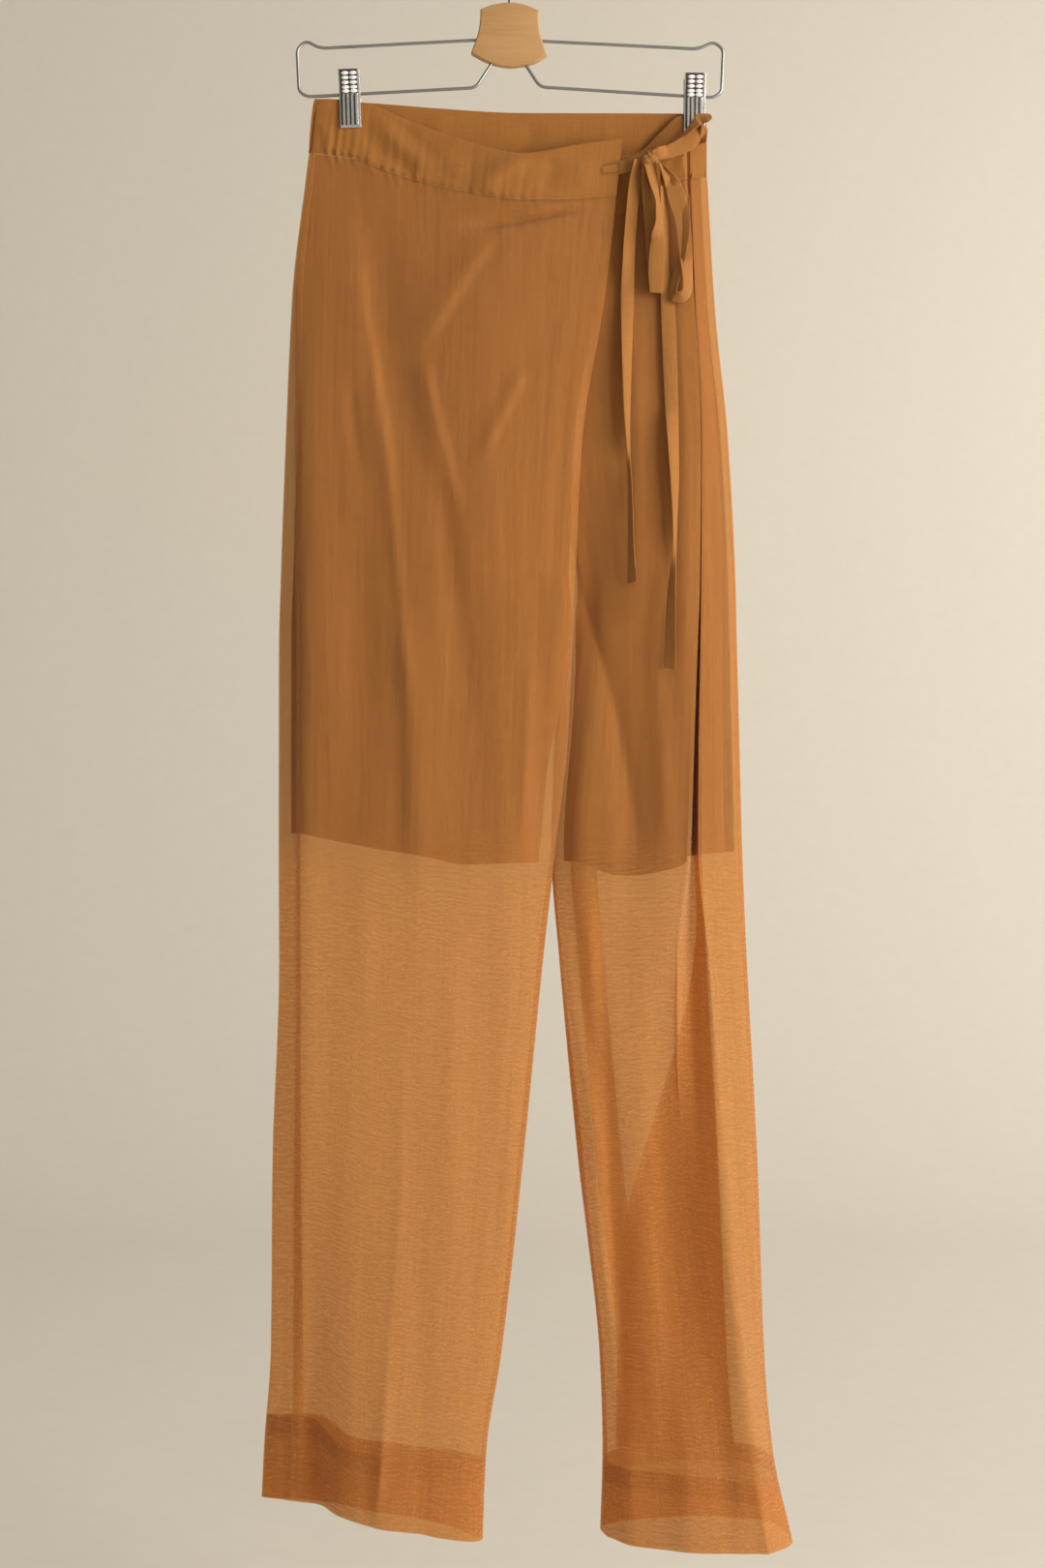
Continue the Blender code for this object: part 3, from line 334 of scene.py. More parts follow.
# Linings: the columns of its panel that each runs between, at its waist and at its hem, and
# the drops between which it narrows from the one to the other
LiningCut = namedtuple("LiningCut", "panel first_top first_hem last_top last_hem hem flat area")
LININGS = {
    "lining_right_front": LiningCut(
        "right_front", 0.5, 0.5, 4.85, 4.4, RIGHT_LINING_HEM, (0.24, 0.54), 0.115),
    "lining_right_back": LiningCut(
        "right_back", 2.0, 2.0, 4.5, 4.5, RIGHT_LINING_HEM, (0.17, 0.54), 0.08),
    "lining_left_front": LiningCut(
        "left_front", 0.7, 1.5, 7.5, 7.5, LEFT_LINING_HEM, (0.20, 0.54), 0.088),
    "lining_left_back": LiningCut(
        "left_back", 0.5, 0.5, 3.0, 3.0, LEFT_LINING_HEM, (0.13, 0.54), 0.062),
}
LINING_NARROWS = (530.0, 640.0)

# Waistbands: the panels that each is sewn to, its top edge, and the size and area it was cut to
Band = namedtuple("Band", "panels top flat area")
BANDS = {
    "waistband_wrap": Band(("right_front",), WRAP_TOP, (0.098, 0.25), 0.0215),
    "waistband_under": Band(("left_front",), UNDER_TOP, (0.105, 0.235), 0.0235),
    "waistband_back": Band(("left_back", "right_back"), BACK_TOP, (0.11, 0.32), 0.0335),
}

# Flat straps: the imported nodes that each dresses, the width and length it was cut to in
# metres, the edge that stands out where it is seen edge-on (1 the second, -1 the first,
# 0 none), the row below which the other edge does, and its sections from end to end, each
# as its two edges and its depth
Strap = namedtuple("Strap", "nodes cut out_edge turns_over rows")
LEFT_LOOP_NODES = ("bow_loop_left", "bow_loop_left_back")
RIGHT_LOOP_NODES = ("bow_loop_right", "bow_loop_right_back")
STRAPS = {
    "tie_wrap": Strap(("tie_wrap",), (0.010, 0.034), 0, math.inf, (
        (70, -190, 70.5, -199, -11.2),
        (80, -188.5, 80.5, -198, -10.9),
        (88, -187, 88.5, -197, -11.4),
        (95, -184.4, 96, -194, -14.2),
        (101, -183.4, 101, -190.5, -16.2),
        (105, -183.6, 105, -188.6, -17),
    )),
    "tie_side": Strap(("tie_side",), (0.010, 0.060), -1, math.inf, (
        (109, -182.6, 109, -187, -17.2),
        (114.5, -179.8, 114.5, -188.4, -17.4),
        (124, -175.2, 125, -186, -15.6),
        (133, -169.4, 134.4, -182.6, -14.4),
        (143, -161.8, 142.6, -177.6, -13.6),
        (148.5, -161.4, 147.6, -168.8, -12.4),
        (152.2, -165, 147.4, -169.2, -8.2),
        (151.8, -172, 146.8, -172, -2.7),
    )),
    "tie_twist": Strap(("tie_twist",), (0.010, 0.033), 1, math.inf, (
        (132.8, -167.6, 135.7, -170.2, -12.9),
        (139.4, -158.6, 143.9, -163.4, -12.5),
        (144.6, -151.6, 148.8, -160.2, -11.6),
        (150.6, -151, 153.2, -158.4, -10.9),
        (154.6, -151.4, 155.4, -156, -9.9),
        (151, -153, 152, -158, -8.2),
        (145, -156, 146.4, -161, -7.2),
    )),
    "bow_loop_left": Strap(LEFT_LOOP_NODES, (0.0115, 0.193), -1, math.inf, (
        (102.9, -193.4, 111.9, -192.6, -19.2),
        (107, -208.8, 113.4, -208, -20.8),
        (111.6, -224.4, 115.4, -224.4, -21.6),
        (111.4, -236, 117, -236, -22),
        (108, -250, 118, -250, -22.2),
        (106.2, -275, 118.7, -275, -22.2),
        (107.4, -290.8, 118, -291.4, -21.6),
        (107.2, -287, 117.8, -287, -20.4),
        (105.4, -273, 116.4, -273, -19.4),
        (104.1, -245, 114.6, -245, -18.4),
        (102.3, -221.4, 112.4, -221.4, -17.6),
        (100.9, -200, 110, -201, -17),
        (103, -194, 108.6, -194, -17),
    )),
    "bow_loop_right": Strap(RIGHT_LOOP_NODES, (0.010, 0.228), -1, math.inf, (
        (113.2, -189.6, 117, -194.8, -18.8),
        (121, -217.6, 129.4, -206.6, -20.6),
        (127.4, -240, 138.4, -237, -21.8),
        (130, -264.6, 140, -264, -22.4),
        (132.2, -283, 140, -283.4, -22.6),
        (131.8, -289.6, 137.8, -294.8, -22.4),
        (129.6, -291.8, 131, -299, -21.8),
        (127.6, -290, 123.8, -297.4, -21.2),
        (128.8, -285.4, 122.6, -288.8, -20.8),
        (132, -275, 125.8, -274, -20.4),
        (135.4, -261, 129, -261, -20),
        (138, -237, 129.4, -239, -19.6),
        (132.6, -210, 124.4, -216, -18.6),
        (119, -194.6, 114.8, -191.4, -17.4),
    )),
    "tail_left": Strap(("tail_left",), (0.010, 0.33), -1, 6.2, (
        (95.6, -188, 102, -187, -13.4),
        (93.4, -197, 101.6, -196.4, -12.9),
        (91.6, -206, 100.4, -206, -13.3),
        (86.8, -262, 96, -262, -14.2),
        (85.4, -300, 95.2, -300, -15.2),
        (86.6, -368, 92.8, -368, -18.2),
        (89.2, -408, 92.2, -408, -20.2),
        (90.8, -448, 93.8, -448, -22),
        (90.6, -488, 95.1, -488, -23.8),
        (90.5, -514.4, 97.1, -513, -24.6),
    )),
    "tail_right": Strap(("tail_right",), (0.010, 0.39), -1, 6.3, (
        (114.8, -192, 120.8, -195.6, -15.8),
        (115.4, -204, 122, -204.4, -15.2),
        (115.4, -262, 122, -262, -15.2),
        (116.2, -304, 127.2, -304, -17.9),
        (119, -378, 129, -378, -21.8),
        (122, -428, 129.4, -428, -24.4),
        (124.4, -478, 127.6, -478, -26.6),
        (120, -528, 126.4, -528, -27.8),
        (117.4, -579, 126.2, -580, -28.8),
    )),
}
KNOT_CENTRE = (107.2, -17.8, -189.2)
KNOT_HALF = (6.4, 3.9, 7.4)

# The hanger: the wires' corners, and the block's four sides, as (across, height)
WIRE_RADIUS = 1.25
HOOK_RADIUS = 1.5
HOOK_REACH = 21.5
# The hook: its stem's corners, its round's centre, and the angles that the round runs through
HOOK_STEM = ((0.0, -70.0), (0.0, -54.0), (1.6, -48.6), (6.4, -42.8))
HOOK_CENTRE = -20.0
HOOK_ANGLES = range(-50, 191, 6)
BEND_RADIUS = 5.0
BEND_STEPS = 8
# The wires' lower runs, where the clips' springs go round them, lie below this height
WIRE_LOWER = -120.0
LEFT_WIRE = (
    (-18.6, -90.7), (-147, -97.5), (-158, -91.6), (-165, -98), (-163.4, -131),
    (-157, -135), (-26.4, -128), (-12.2, -106.2),
)
RIGHT_WIRE = (
    (19.4, -91.7), (146, -98), (158, -92.4), (165.4, -98), (164, -131.4),
    (158, -135.6), (134, -134.4), (23.4, -127.4), (10, -106.8),
)
BLOCK_SIDES = (
    ((-22.8, -68.8), (-12, -65), (0, -63.5), (12, -65.4), (22.6, -69.8)),
    ((22.6, -69.8), (22.4, -76), (23.2, -86), (28.4, -103)),
    (
        (28.4, -103), (20, -108.6), (10, -111.4), (0, -112.4), (-10, -111), (-20, -107.4),
        (-30, -101.8),
    ),
    ((-30, -101.8), (-24.4, -86), (-23, -76), (-22.8, -68.8)),
)
BLOCK_HALF = 6.0
BLOCK_ROUND = 1.3
BLOCK_RIDGE = ((-24.4, -88.3), (23.2, -90.8))
BLOCK_TAPER = 2.4
BLOCK_TAPER_REACH = 22.0

# A clip's sheet: drops below its top and depths of its inner face, then its ribs and grip
CLIP_PROFILE = ((0, 8.4), (6, 6.6), (13, 3.9), (17, 3.0), (24, 3.5), (34, 4.2), (44.5, 4.3))
CLIP_LENGTH = 44.5
CLIP_WIDTH = 16.4
CLIP_SHEET = 1.0
CLIP_ROUND = 0.4
RIB_DROPS = (17.2, 42.2)
RIBS = ((-5.9, -3.7), (-2.6, -0.4), (0.7, 2.9), (4.0, 6.2))
RIB_SLOPE = 0.45
RIB_RISE = 0.6
# The drops of the rows of points by which a clip's sheet is bent
CLIP_BENDS = (2, 4, 6, 8, 10, 13, 15, 20, 24, 29, 34, 39)
FLANGE_DROPS = (1.2, 12.5)
FLANGE_WALL = 0.9
FLANGE_DEPTH = 2.2
GRIP_COLUMNS = (-3.1, 3.1)
GRIP_ROWS = (2.9, 6.2, 9.5, 12.8, 15.6)
GRIP_HALF = (2.9, 1.15, 1.5)
Clip = namedtuple("Clip", "name top_x bottom_x top_z")
CLIPS = (Clip("left", -124.5, -123, -116), Clip("right", 143.2, 142.6, -119))
SPRING_RADIUS = 2.05
SPRING_WIRE = 0.42
SPRING_LENGTH = 9.0
SPRING_TURNS = 9
SPRING_STEPS = 16

# Sewing: how long a stitch is, how far apart, how thick, and how far it stands out
Thread = namedtuple("Thread", "length pitch radius rise")
TOPSTITCH = Thread(1.9, 2.5, 0.17, 0.12)
HEM_STITCH = Thread(0.9, 4.0, 0.15, 0.10)
BOX_STITCH = Thread(1.7, 1.9, 0.3, 0.16)
# A stitch's thickness along it as shares of its radius, its sides, and how far its ends dip in
STITCH_SECTIONS = (0.35, 0.9, 1, 0.9, 0.35)
STITCH_SIDES = 6
STITCH_DIP = 0.3

# The stage, in metres: the camera, the curve between floor and wall, and the lights as name,
# place, target, size and power
CAMERA_PLACE = (0.00975, -1.8, -0.6675)
CAMERA_LENS = 53.33
ROOM_CURVE = 1.6
ROOM_CURVE_STEPS = 24
ROOM_FRONT = -6.0
ROOM_HEIGHT = 7.0
ROOM_HALF = 8.0
KEY_COLOUR = (1.0, 0.95, 0.87)
WINDOW = ("window", (2.0, -1.35, -0.25), (0, 0, -0.65), (1.5, 1.8))
WALL_WASH = ("wall wash", (3.0, 1.4, 0.5), (0.5, 4.0, 0.35), (1.6, 1.8))
WALL_WASH_POWER = 54.0
SKY_COLOUR = (1.0, 0.97, 0.92, 1.0)
# The room's light grows from the left side to the right: from, to, least share, greatest share
SKY_RISE = (-0.7, 0.9, 0.45, 1.7)
# The sheer layers that light passes through, and the times that it bounces
LAYERS_SEEN = 24
LIGHT_BOUNCES = 4


# ---- Curves and surfaces ----

def smooth(x, y, at):
    """Values on a smooth curve through points whose x rises, level where the points turn."""
    x, y = np.asarray(x, float), np.asarray(y, float)
    at = np.clip(at, x[0], x[-1])
    rises = np.diff(y) / np.diff(x)
    before, after = rises[:-1], rises[1:]
    turns = before * after <= 0
    inner = np.where(turns, 0, 2 * before * after / np.where(turns, 1, before + after))
    slopes = np.concatenate([rises[:1], inner, rises[-1:]])
    i = np.clip(np.searchsorted(x, at, side="right") - 1, 0, len(x) - 2)
    span = np.diff(x)[i]
    t = (at - x[i]) / span
    start, end = slopes[i] * span, slopes[i + 1] * span
    return (
        (1 + 2 * t) * (1 - t) ** 2 * y[i]
        + t * (1 - t) ** 2 * start
        + t * t * (3 - 2 * t) * y[i + 1]
        - t * t * (1 - t) * end
    )


def step(start, end, at):
    """0 before start, 1 after end, and smooth between them."""
    t = np.clip((at - start) / (end - start), 0, 1)
    return t * t * (3 - 2 * t)


def mix(a, b, share):
    return a + (b - a) * share


def place(across, depth):
    """Places on a section, as two rows: across and depth."""
    return np.array(np.broadcast_arrays(across, depth), float)


def by_level(values, heights):
    return smooth([-level for level in LEVELS], values, -heights)


def on_line(line, heights):
    return place(by_level(line.across, heights), by_level(line.depth, heights))


def along(edge, across, field=1):
    """An edge's height, or its depth with field 2, at places across."""
    ordered = sorted(edge)
    return smooth([row[0] for row in ordered], [row[field] for row in ordered], across)


def length_of(way):
    return np.linalg.norm(way, axis=0)


def between(before, a, b, after, share):
    """A point between a and b on the centripetal curve through four points."""
    knots = [np.zeros(a.shape[1])]
    for first, second in ((before, a), (a, b), (b, after)):
        knots.append(knots[-1] + np.maximum(length_of(second - first), 0.01) ** 0.5)
    t0, t1, t2, t3 = knots
    t = mix(t1, t2, share)
    p1 = before * ((t1 - t) / (t1 - t0)) + a * ((t - t0) / (t1 - t0))
    p2 = a * ((t2 - t) / (t2 - t1)) + b * ((t - t1) / (t2 - t1))
    p3 = b * ((t3 - t) / (t3 - t2)) + after * ((t - t2) / (t3 - t2))
    q1 = p1 * ((t2 - t) / (t2 - t0)) + p2 * ((t - t0) / (t2 - t0))
    q2 = p2 * ((t3 - t) / (t3 - t1)) + p3 * ((t - t1) / (t3 - t1))
    return q1 * ((t2 - t) / (t2 - t1)) + q2 * ((t - t1) / (t2 - t1))


def on_section(stations, sharp, column):
    """The section's places at a column. stations has one guide more at each end."""
    k = min(int(column), len(stations) - 4)
    before, a, b, after = stations[k : k + 4]
    if k in sharp:
        before = 2 * a - b
    if k + 1 in sharp:
        after = 2 * b - a
    return between(before, a, b, after, column - k)


def below_crotch(heights):
    return step(-CROTCH_TOP, -CROTCH_BOTTOM, -heights)


def right_back_lines(heights):
    depth = by_level(RIGHT_BACK_DEPTH, heights)
    edge, outline = on_line(RIGHT["edge"], heights), on_line(RIGHT["outline"], heights)
    above = [place(CENTRE_BACK - shift, depth) for shift in (0, 16, 36)]
    below = [
        edge,
        place(edge[0] - 13, edge[1] + 0.55 * (depth - edge[1])),
        place(edge[0] - 30, depth - 1),
    ]
    inner = [mix(a, b, below_crotch(heights)) for a, b in zip(above, below)]
    middle = place(mix(outline[0], inner[2][0], 0.5), depth)
    turn = place(outline[0] + 24, depth + 0.4 * (outline[1] + 4 - depth))
    return [*inner, middle, turn, outline, on_line(RIGHT["seam"], heights)]


def left_back_lines(heights):
    depth = by_level(LEFT_BACK_DEPTH, heights)
    edge, seam = on_line(LEFT["edge"], heights), on_line(LEFT["seam"], heights)
    above = [place(CENTRE_BACK + shift, depth) for shift in (36, 16, 0)]
    below = [
        place(edge[0] + 26, mix(edge[1], depth, 0.8)),
        place(edge[0] + 6, mix(edge[1], depth, 0.5)),
        edge,
    ]
    inner = [mix(a, b, below_crotch(heights)) for a, b in zip(above, below)]
    outer = place(seam[0] - 14, mix(seam[1], depth, 0.8))
    middle = place(mix(outer[0], inner[0][0], 0.5), depth)
    return [seam, outer, middle, *inner]


def right_front_lines(heights):
    names = ("seam", "step back", "step front", "crease", "inner", "edge")
    return [on_line(RIGHT[name], heights) for name in names]


def left_front_lines(heights):
    return [on_line(line, heights) for line in LEFT.values()]


def right_front_stations(heights):
    lines, back = right_front_lines(heights), right_back_lines(heights)
    free = 2 * lines[-1] - lines[-2]
    return [back[-2], *lines, mix(free, back[1], below_crotch(heights))]


def left_front_stations(heights):
    lines, back = left_front_lines(heights), left_back_lines(heights)
    free = 2 * lines[0] - lines[1]
    return [mix(free, back[-2], below_crotch(heights)), *lines, back[1]]


def right_back_stations(heights):
    lines, front = right_back_lines(heights), right_front_lines(heights)
    other = left_back_lines(heights)[-2]
    return [mix(other, front[-2], below_crotch(heights)), *lines, front[1]]


def left_back_stations(heights):
    lines, front = left_back_lines(heights), left_front_lines(heights)
    other = right_back_lines(heights)[1]
    return [front[-2], *lines, mix(other, front[1], below_crotch(heights))]


# Panels: how each is laid on its lines, its last column and the lines where it comes to an
# edge, its edges across, how many columns and rows it has, the size and area it was cut to,
# the waistband that holds it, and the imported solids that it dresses
Panel = namedtuple(
    "Panel", "stations last sharp top hem hem_top across down flat area band body_nodes")
PANELS = {
    "right_front": Panel(
        right_front_stations, 5, (), WRAP_SEAM, RIGHT_HEM, RIGHT_HEM_TOP, 150, 255,
        (0.30, 1.12), 0.255, "waistband_wrap", ("side", "hip", "leg", "inner")),
    "left_front": Panel(
        left_front_stations, 8, LEFT_SHARP, UNDER_SEAM, LEFT_HEM, LEFT_HEM_TOP, 144, 220,
        (0.36, 1.12), 0.24, "waistband_under",
        ("inner_hip", "inner_leg", "hip", "leg", "fold", "side")),
    "right_back": Panel(
        right_back_stations, 6, (), BACK_SEAM, RIGHT_HEM, RIGHT_HEM_TOP, 84, 180,
        (0.25, 1.14), 0.24, "waistband_back", ("hip", "inner", "leg", "side")),
    "left_back": Panel(
        left_back_stations, 5, (), BACK_SEAM, LEFT_HEM, LEFT_BACK_HEM_TOP, 84, 180,
        (0.25, 1.14), 0.21, "waistband_back", ("side", "hip", "leg", "inner")),
}


def face_points(panel, columns, heights):
    """A panel's outer face before its creases, for heights given as (rows, columns)."""
    points = np.empty((*heights.shape, 3))
    for k, column in enumerate(columns):
        flat = on_section(panel.stations(heights[:, k]), panel.sharp, column)
        points[:, k, 0], points[:, k, 1] = flat
        points[:, k, 2] = heights[:, k]
    return points


def edge_height(panel, edge, columns, guess=HEM_HEIGHT_GUESS):
    """The height of an edge that runs across, at each column."""
    row = face_points(panel, columns, np.full((1, len(columns)), guess))
    return along(edge, row[0, :, 0])


def outward(points):
    """The way out of a face whose rows run down and whose columns run to the right."""
    normal = np.cross(np.gradient(points, axis=0), np.gradient(points, axis=1))
    return normal / np.maximum(np.linalg.norm(normal, axis=2, keepdims=True), 1e-9)


def curve_through(points, count):
    """Points along a smooth curve through a few places."""
    places = np.arange(len(points))
    at = np.linspace(0, len(points) - 1, count)
    return np.stack([smooth(places, [p[axis] for p in points], at) for axis in (0, 1)], axis=1)


def crease_lift(crease, x, z):
    """How far a crease lifts each place of a face."""
    line = curve_through(crease.points, 6 * (len(crease.points) - 1) + 1)
    nearest = np.full(x.shape, np.inf)
    side, share = np.zeros(x.shape), np.zeros(x.shape)
    for k, (a, b) in enumerate(zip(line, line[1:])):
        way = b - a
        t = np.clip(((x - a[0]) * way[0] + (z - a[1]) * way[1]) / (way @ way), 0, 1)
        off_x, off_z = x - a[0] - t * way[0], z - a[1] - t * way[1]
        distance = np.hypot(off_x, off_z)
        closer = distance < nearest
        nearest = np.where(closer, distance, nearest)
        side = np.where(closer, way[0] * off_z - way[1] * off_x, side)
        share = np.where(closer, (k + t) / (len(line) - 1), share)
    width = np.where(side > 0, crease.right, crease.left)
    fade = step(0, CREASE_FADE, share) * step(0, CREASE_FADE, 1 - share)
    return crease.height * np.exp(-((nearest / width) ** (1.15 if crease.sharp else 2))) * fade


def pucker_lift(x, drop):
    """The lift of the small puckers at a drop below the waistband seam, or above it."""
    reach = np.where(drop > 0, PUCKER_DROP, PUCKER_RISE)
    fade = np.exp(-((drop / reach) ** 2))
    lean = PUCKER_LEAN * drop
    return sum(h * np.exp(-(((x - at - lean) / w) ** 2)) for at, w, h in PUCKERS) * fade


def relief(name, points, ends, drop):
    """How far a panel's own creases, waves and puckers lift its face."""
    x, z = points[..., 0], points[..., 2]
    lift = sum(crease_lift(crease, x, z) for crease in CREASES[name])
    grows = 0.4 + 1.1 * step(*WAVES_GROW, -z)
    for wave in WAVES:
        turn = 2 * math.pi * (x + wave.drift * z) / wave.length + wave.phase
        lift = lift + wave.height * grows * np.sin(turn)
    puckers = pucker_lift(x, drop) if name == "right_front" else 0
    sink = SEAM_SINK * np.exp(-((drop / SEAM_SINK_REACH) ** 2))
    return mix(puckers, lift + puckers, step(0, CREASE_START, drop)) * ends - sink


def panel_surface(name, columns, heights, seam=None):
    """A panel's outer face with its creases, and the way out at each point.

    Its first row is the waistband's seam, unless the seam's heights are given."""
    panel = PANELS[name]
    points = face_points(panel, columns, heights)
    ends = step(0, EDGE_FADE, columns) * step(0, EDGE_FADE, panel.last - columns)
    drop = (heights[0] if seam is None else seam) - heights
    lifted = points + outward(points) * relief(name, points, ends, drop)[..., None]
    return lifted, outward(lifted)


# ---- Meshes of cloth ----

Shell = namedtuple("Shell", "points faces uv")


def quads(a, b, c, d):
    """Faces of four corners each, from the four grids of their corners."""
    return np.stack([a.ravel(), b.ravel(), c.ravel(), d.ravel()], axis=1)


def shell(middle, thickness):
    """A closed sheet of cloth round the middle points, whose rows run down and face out."""
    normals = outward(middle)
    half = np.asarray(thickness)[..., None] / 2
    rows, across = middle.shape[:2]
    points = np.concatenate([(middle + s * normals * half).reshape(-1, 3) for s in (1, -1)])
    at = np.arange(rows * across).reshape(rows, across)
    under = at + rows * across
    front = quads(at[:-1, :-1], at[1:, :-1], at[1:, 1:], at[:-1, 1:])
    faces = [
        front,
        front[:, ::-1] + rows * across,
        quads(at[1:, 0], at[:-1, 0], under[:-1, 0], under[1:, 0]),
        quads(at[:-1, -1], at[1:, -1], under[1:, -1], under[:-1, -1]),
        quads(at[0, :-1], at[0, 1:], under[0, 1:], under[0, :-1]),
        quads(at[-1, 1:], at[-1, :-1], under[-1, :-1], under[-1, 1:]),
    ]
    across_run = run_length(middle[rows // 2])
    down_run = run_length(middle[:, across // 2])
    grid = np.stack(np.meshgrid(across_run, down_run), axis=2).reshape(-1, 2)
    return Shell(points * MM, np.concatenate(faces), np.concatenate([grid, grid]) * MM)


def run_length(points):
    """How far along a line each of its points lies."""
    steps = np.linalg.norm(np.diff(points, axis=0), axis=1)
    return np.concatenate([[0], np.cumsum(steps)])


def turned(main, normals, rows, radius):
    """The face with its last edge turned in and run back up over a number of rows."""
    edge = main[-1]
    away = edge - main[-2]
    away /= np.linalg.norm(away, axis=1, keepdims=True)
    arc = [
        edge + away * radius * math.sin(a) - normals[-1] * radius * (1 - math.cos(a))
        for a in (math.pi / 4, math.pi / 2, 3 * math.pi / 4)
    ]
    back = (main - normals * 2 * radius)[::-1][:rows]
    return np.concatenate([main, arc, back])


def joined(shells):
    """Several shells as one."""
    points, faces, uv, count = [], [], [], 0
    for one in shells:
        points.append(one.points)
        faces.append(one.faces + count)
        uv.append(one.uv)
        count += len(one.points)
    return Shell(np.concatenate(points), np.concatenate(faces), np.concatenate(uv))


def select_only(obj):
    bpy.ops.object.select_all(action="DESELECT")
    obj.select_set(True)
    bpy.context.view_layer.objects.active = obj


def add_object(name, data):
    """A new object in the scene, which is the one selected."""
    obj = bpy.data.objects.new(name, data)
    bpy.context.scene.collection.objects.link(obj)
    select_only(obj)
    return obj


def add_cloth(name, shells, material, angle=60):
    """An object of one or more shells of cloth, with its run as a UV map."""
    one = joined(shells)
    mesh = bpy.data.meshes.new(name)
    mesh.from_pydata(one.points.tolist(), [], one.faces.tolist())
    layer = mesh.uv_layers.new(name="cloth run")
    corners = np.empty(len(mesh.loops), np.int32)
    mesh.loops.foreach_get("vertex_index", corners)
    layer.data.foreach_set("uv", one.uv[corners].ravel())
    mesh.materials.append(material)
    obj = add_object(name, mesh)
    bpy.ops.object.shade_smooth_by_angle(angle=math.radians(angle))
    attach(obj, "root")
    return obj


# ---- Finishes ----

class Value:
    """A socket of a finish; arithmetic on it adds the Math nodes."""

    def __init__(self, finish, socket):
        self.finish = finish
        self.socket = socket

    def maths(self, operation, other):
        return self.finish.node("ShaderNodeMath", {0: self, 1: other}, operation=operation)

    def __add__(self, other):
        return self.maths("ADD", other)

    def __sub__(self, other):
        return self.maths("SUBTRACT", other)

    def __mul__(self, other):
        return self.maths("MULTIPLY", other)


class Finish:
    """A new material, whose nodes are added one by one."""

    def __init__(self, name):
        self.material = bpy.data.materials.new(name)
        self.material.use_nodes = True
        self.tree = self.material.node_tree
        self.tree.nodes.clear()
        self.output = self.tree.nodes.new("ShaderNodeOutputMaterial")

    def node(self, kind, inputs=None, output=0, **settings):
        """Adds a node: its settings first, then the values or links of its sockets."""
        made = self.tree.nodes.new(kind)
        for key, value in settings.items():
            setattr(made, key, value)
        for key, value in (inputs or {}).items():
            if isinstance(value, Value):
                self.tree.links.new(value.socket, made.inputs[key])
            else:
                made.inputs[key].default_value = value
        return Value(self, made.outputs[output])

    def spot(self):
        """The place on the object, in its own coordinates."""
        return self.node("ShaderNodeTexCoord", output=3)

    def run(self, across, down):
        """The piece's own run of cloth in metres, times a scale each way, as a vector."""
        uv = self.node("ShaderNodeUVMap", uv_map="cloth run")
        return self.node("ShaderNodeMapping", {"Vector": uv, "Scale": (across, down, 1)})

    def noise(self, vector, scale=1.0, detail=2.0, dimensions="2D"):
        inputs = {"Vector": vector, "Scale": scale, "Detail": detail, "Roughness": 0.5}
        return self.node("ShaderNodeTexNoise", inputs, noise_dimensions=dimensions)

    def grain(self, spot, scale, detail):
        """Noise in the object's own coordinates, stretched by a scale each way."""
        stretched = self.node("ShaderNodeMapping", {"Vector": spot, "Scale": scale})
        return self.noise(stretched, detail=detail, dimensions="3D")

    def blend(self, share, first, second):
        """A colour between two, by a share."""
        return self.node(
            "ShaderNodeMix", {0: share, 6: first, 7: second}, output=2, data_type="RGBA")

    def bump(self, strength, distance, height):
        inputs = {"Strength": strength, "Distance": distance, "Height": height}
        return self.node("ShaderNodeBump", inputs)

    def principled(self, base, rough, **others):
        inputs = {key.replace("_", " "): value for key, value in others.items()}
        inputs.update({"Base Color": base, "Roughness": rough})
        return self.node("ShaderNodeBsdfPrincipled", inputs)

    def surface(self, shader):
        self.tree.links.new(shader.socket, self.output.inputs["Surface"])
        return self.material


def rgba(colour, brightness=1.0):
    return (*(channel * brightness for channel in colour), 1.0)


def cloth_finish(name, colour, cover, tint, glow, crinkled=0.04, moire=0.0, lets_light=True,
                 sheen=0.15):
    """Woven cloth: threads that cover a share of it, and the light between them."""
    finish = Finish(name)
    warp = finish.noise(finish.run(2600, 60), detail=1.0)
    weft = finish.noise(finish.run(60, 2600), detail=0.0)
    crinkle = finish.noise(finish.run(330, 9))
    threads = warp * 0.65 + weft * 0.35
    shade = threads * 0.7 + (crinkle - 0.5) * (4 * crinkled) + 0.15
    base = finish.blend(shade, rgba(colour, 0.7), rgba(colour, 1.3))
    relief_height = threads * 0.4 + crinkle * (5 * crinkled)
    face = finish.principled(
        base, threads * 0.2 + 0.75, Normal=finish.bump(0.35, 0.0004, relief_height),
        Sheen_Weight=sheen, Sheen_Roughness=0.5, Specular_IOR_Level=0.2)
    through = finish.node("ShaderNodeBsdfTranslucent", {"Color": rgba(colour, 1.1)})
    lit = finish.node("ShaderNodeMixShader", {0: glow, 1: face, 2: through})
    share = (threads - 0.5) * 0.2 + (crinkle - 0.5) * crinkled + cover
    if moire:
        height = finish.node("ShaderNodeSeparateXYZ", {0: finish.spot()}, output=2)
        low = finish.node(
            "ShaderNodeMapRange", {0: height, 1: -0.66, 2: -0.78},
            interpolation_type="SMOOTHSTEP")
        worms = finish.node(
            "ShaderNodeTexWave", {
                "Vector": finish.run(44, 84), "Scale": 1.0, "Distortion": 8.0, "Detail": 1.0,
                "Detail Scale": 1.6},
            wave_type="BANDS", bands_direction="Y")
        share = share + (worms - 0.5) * low * moire
    gaps = finish.node("ShaderNodeBsdfTransparent", {"Color": rgba(tint)})
    finish.material.use_transparent_shadow = lets_light
    return finish.surface(finish.node("ShaderNodeMixShader", {0: share, 1: gaps, 2: lit}))


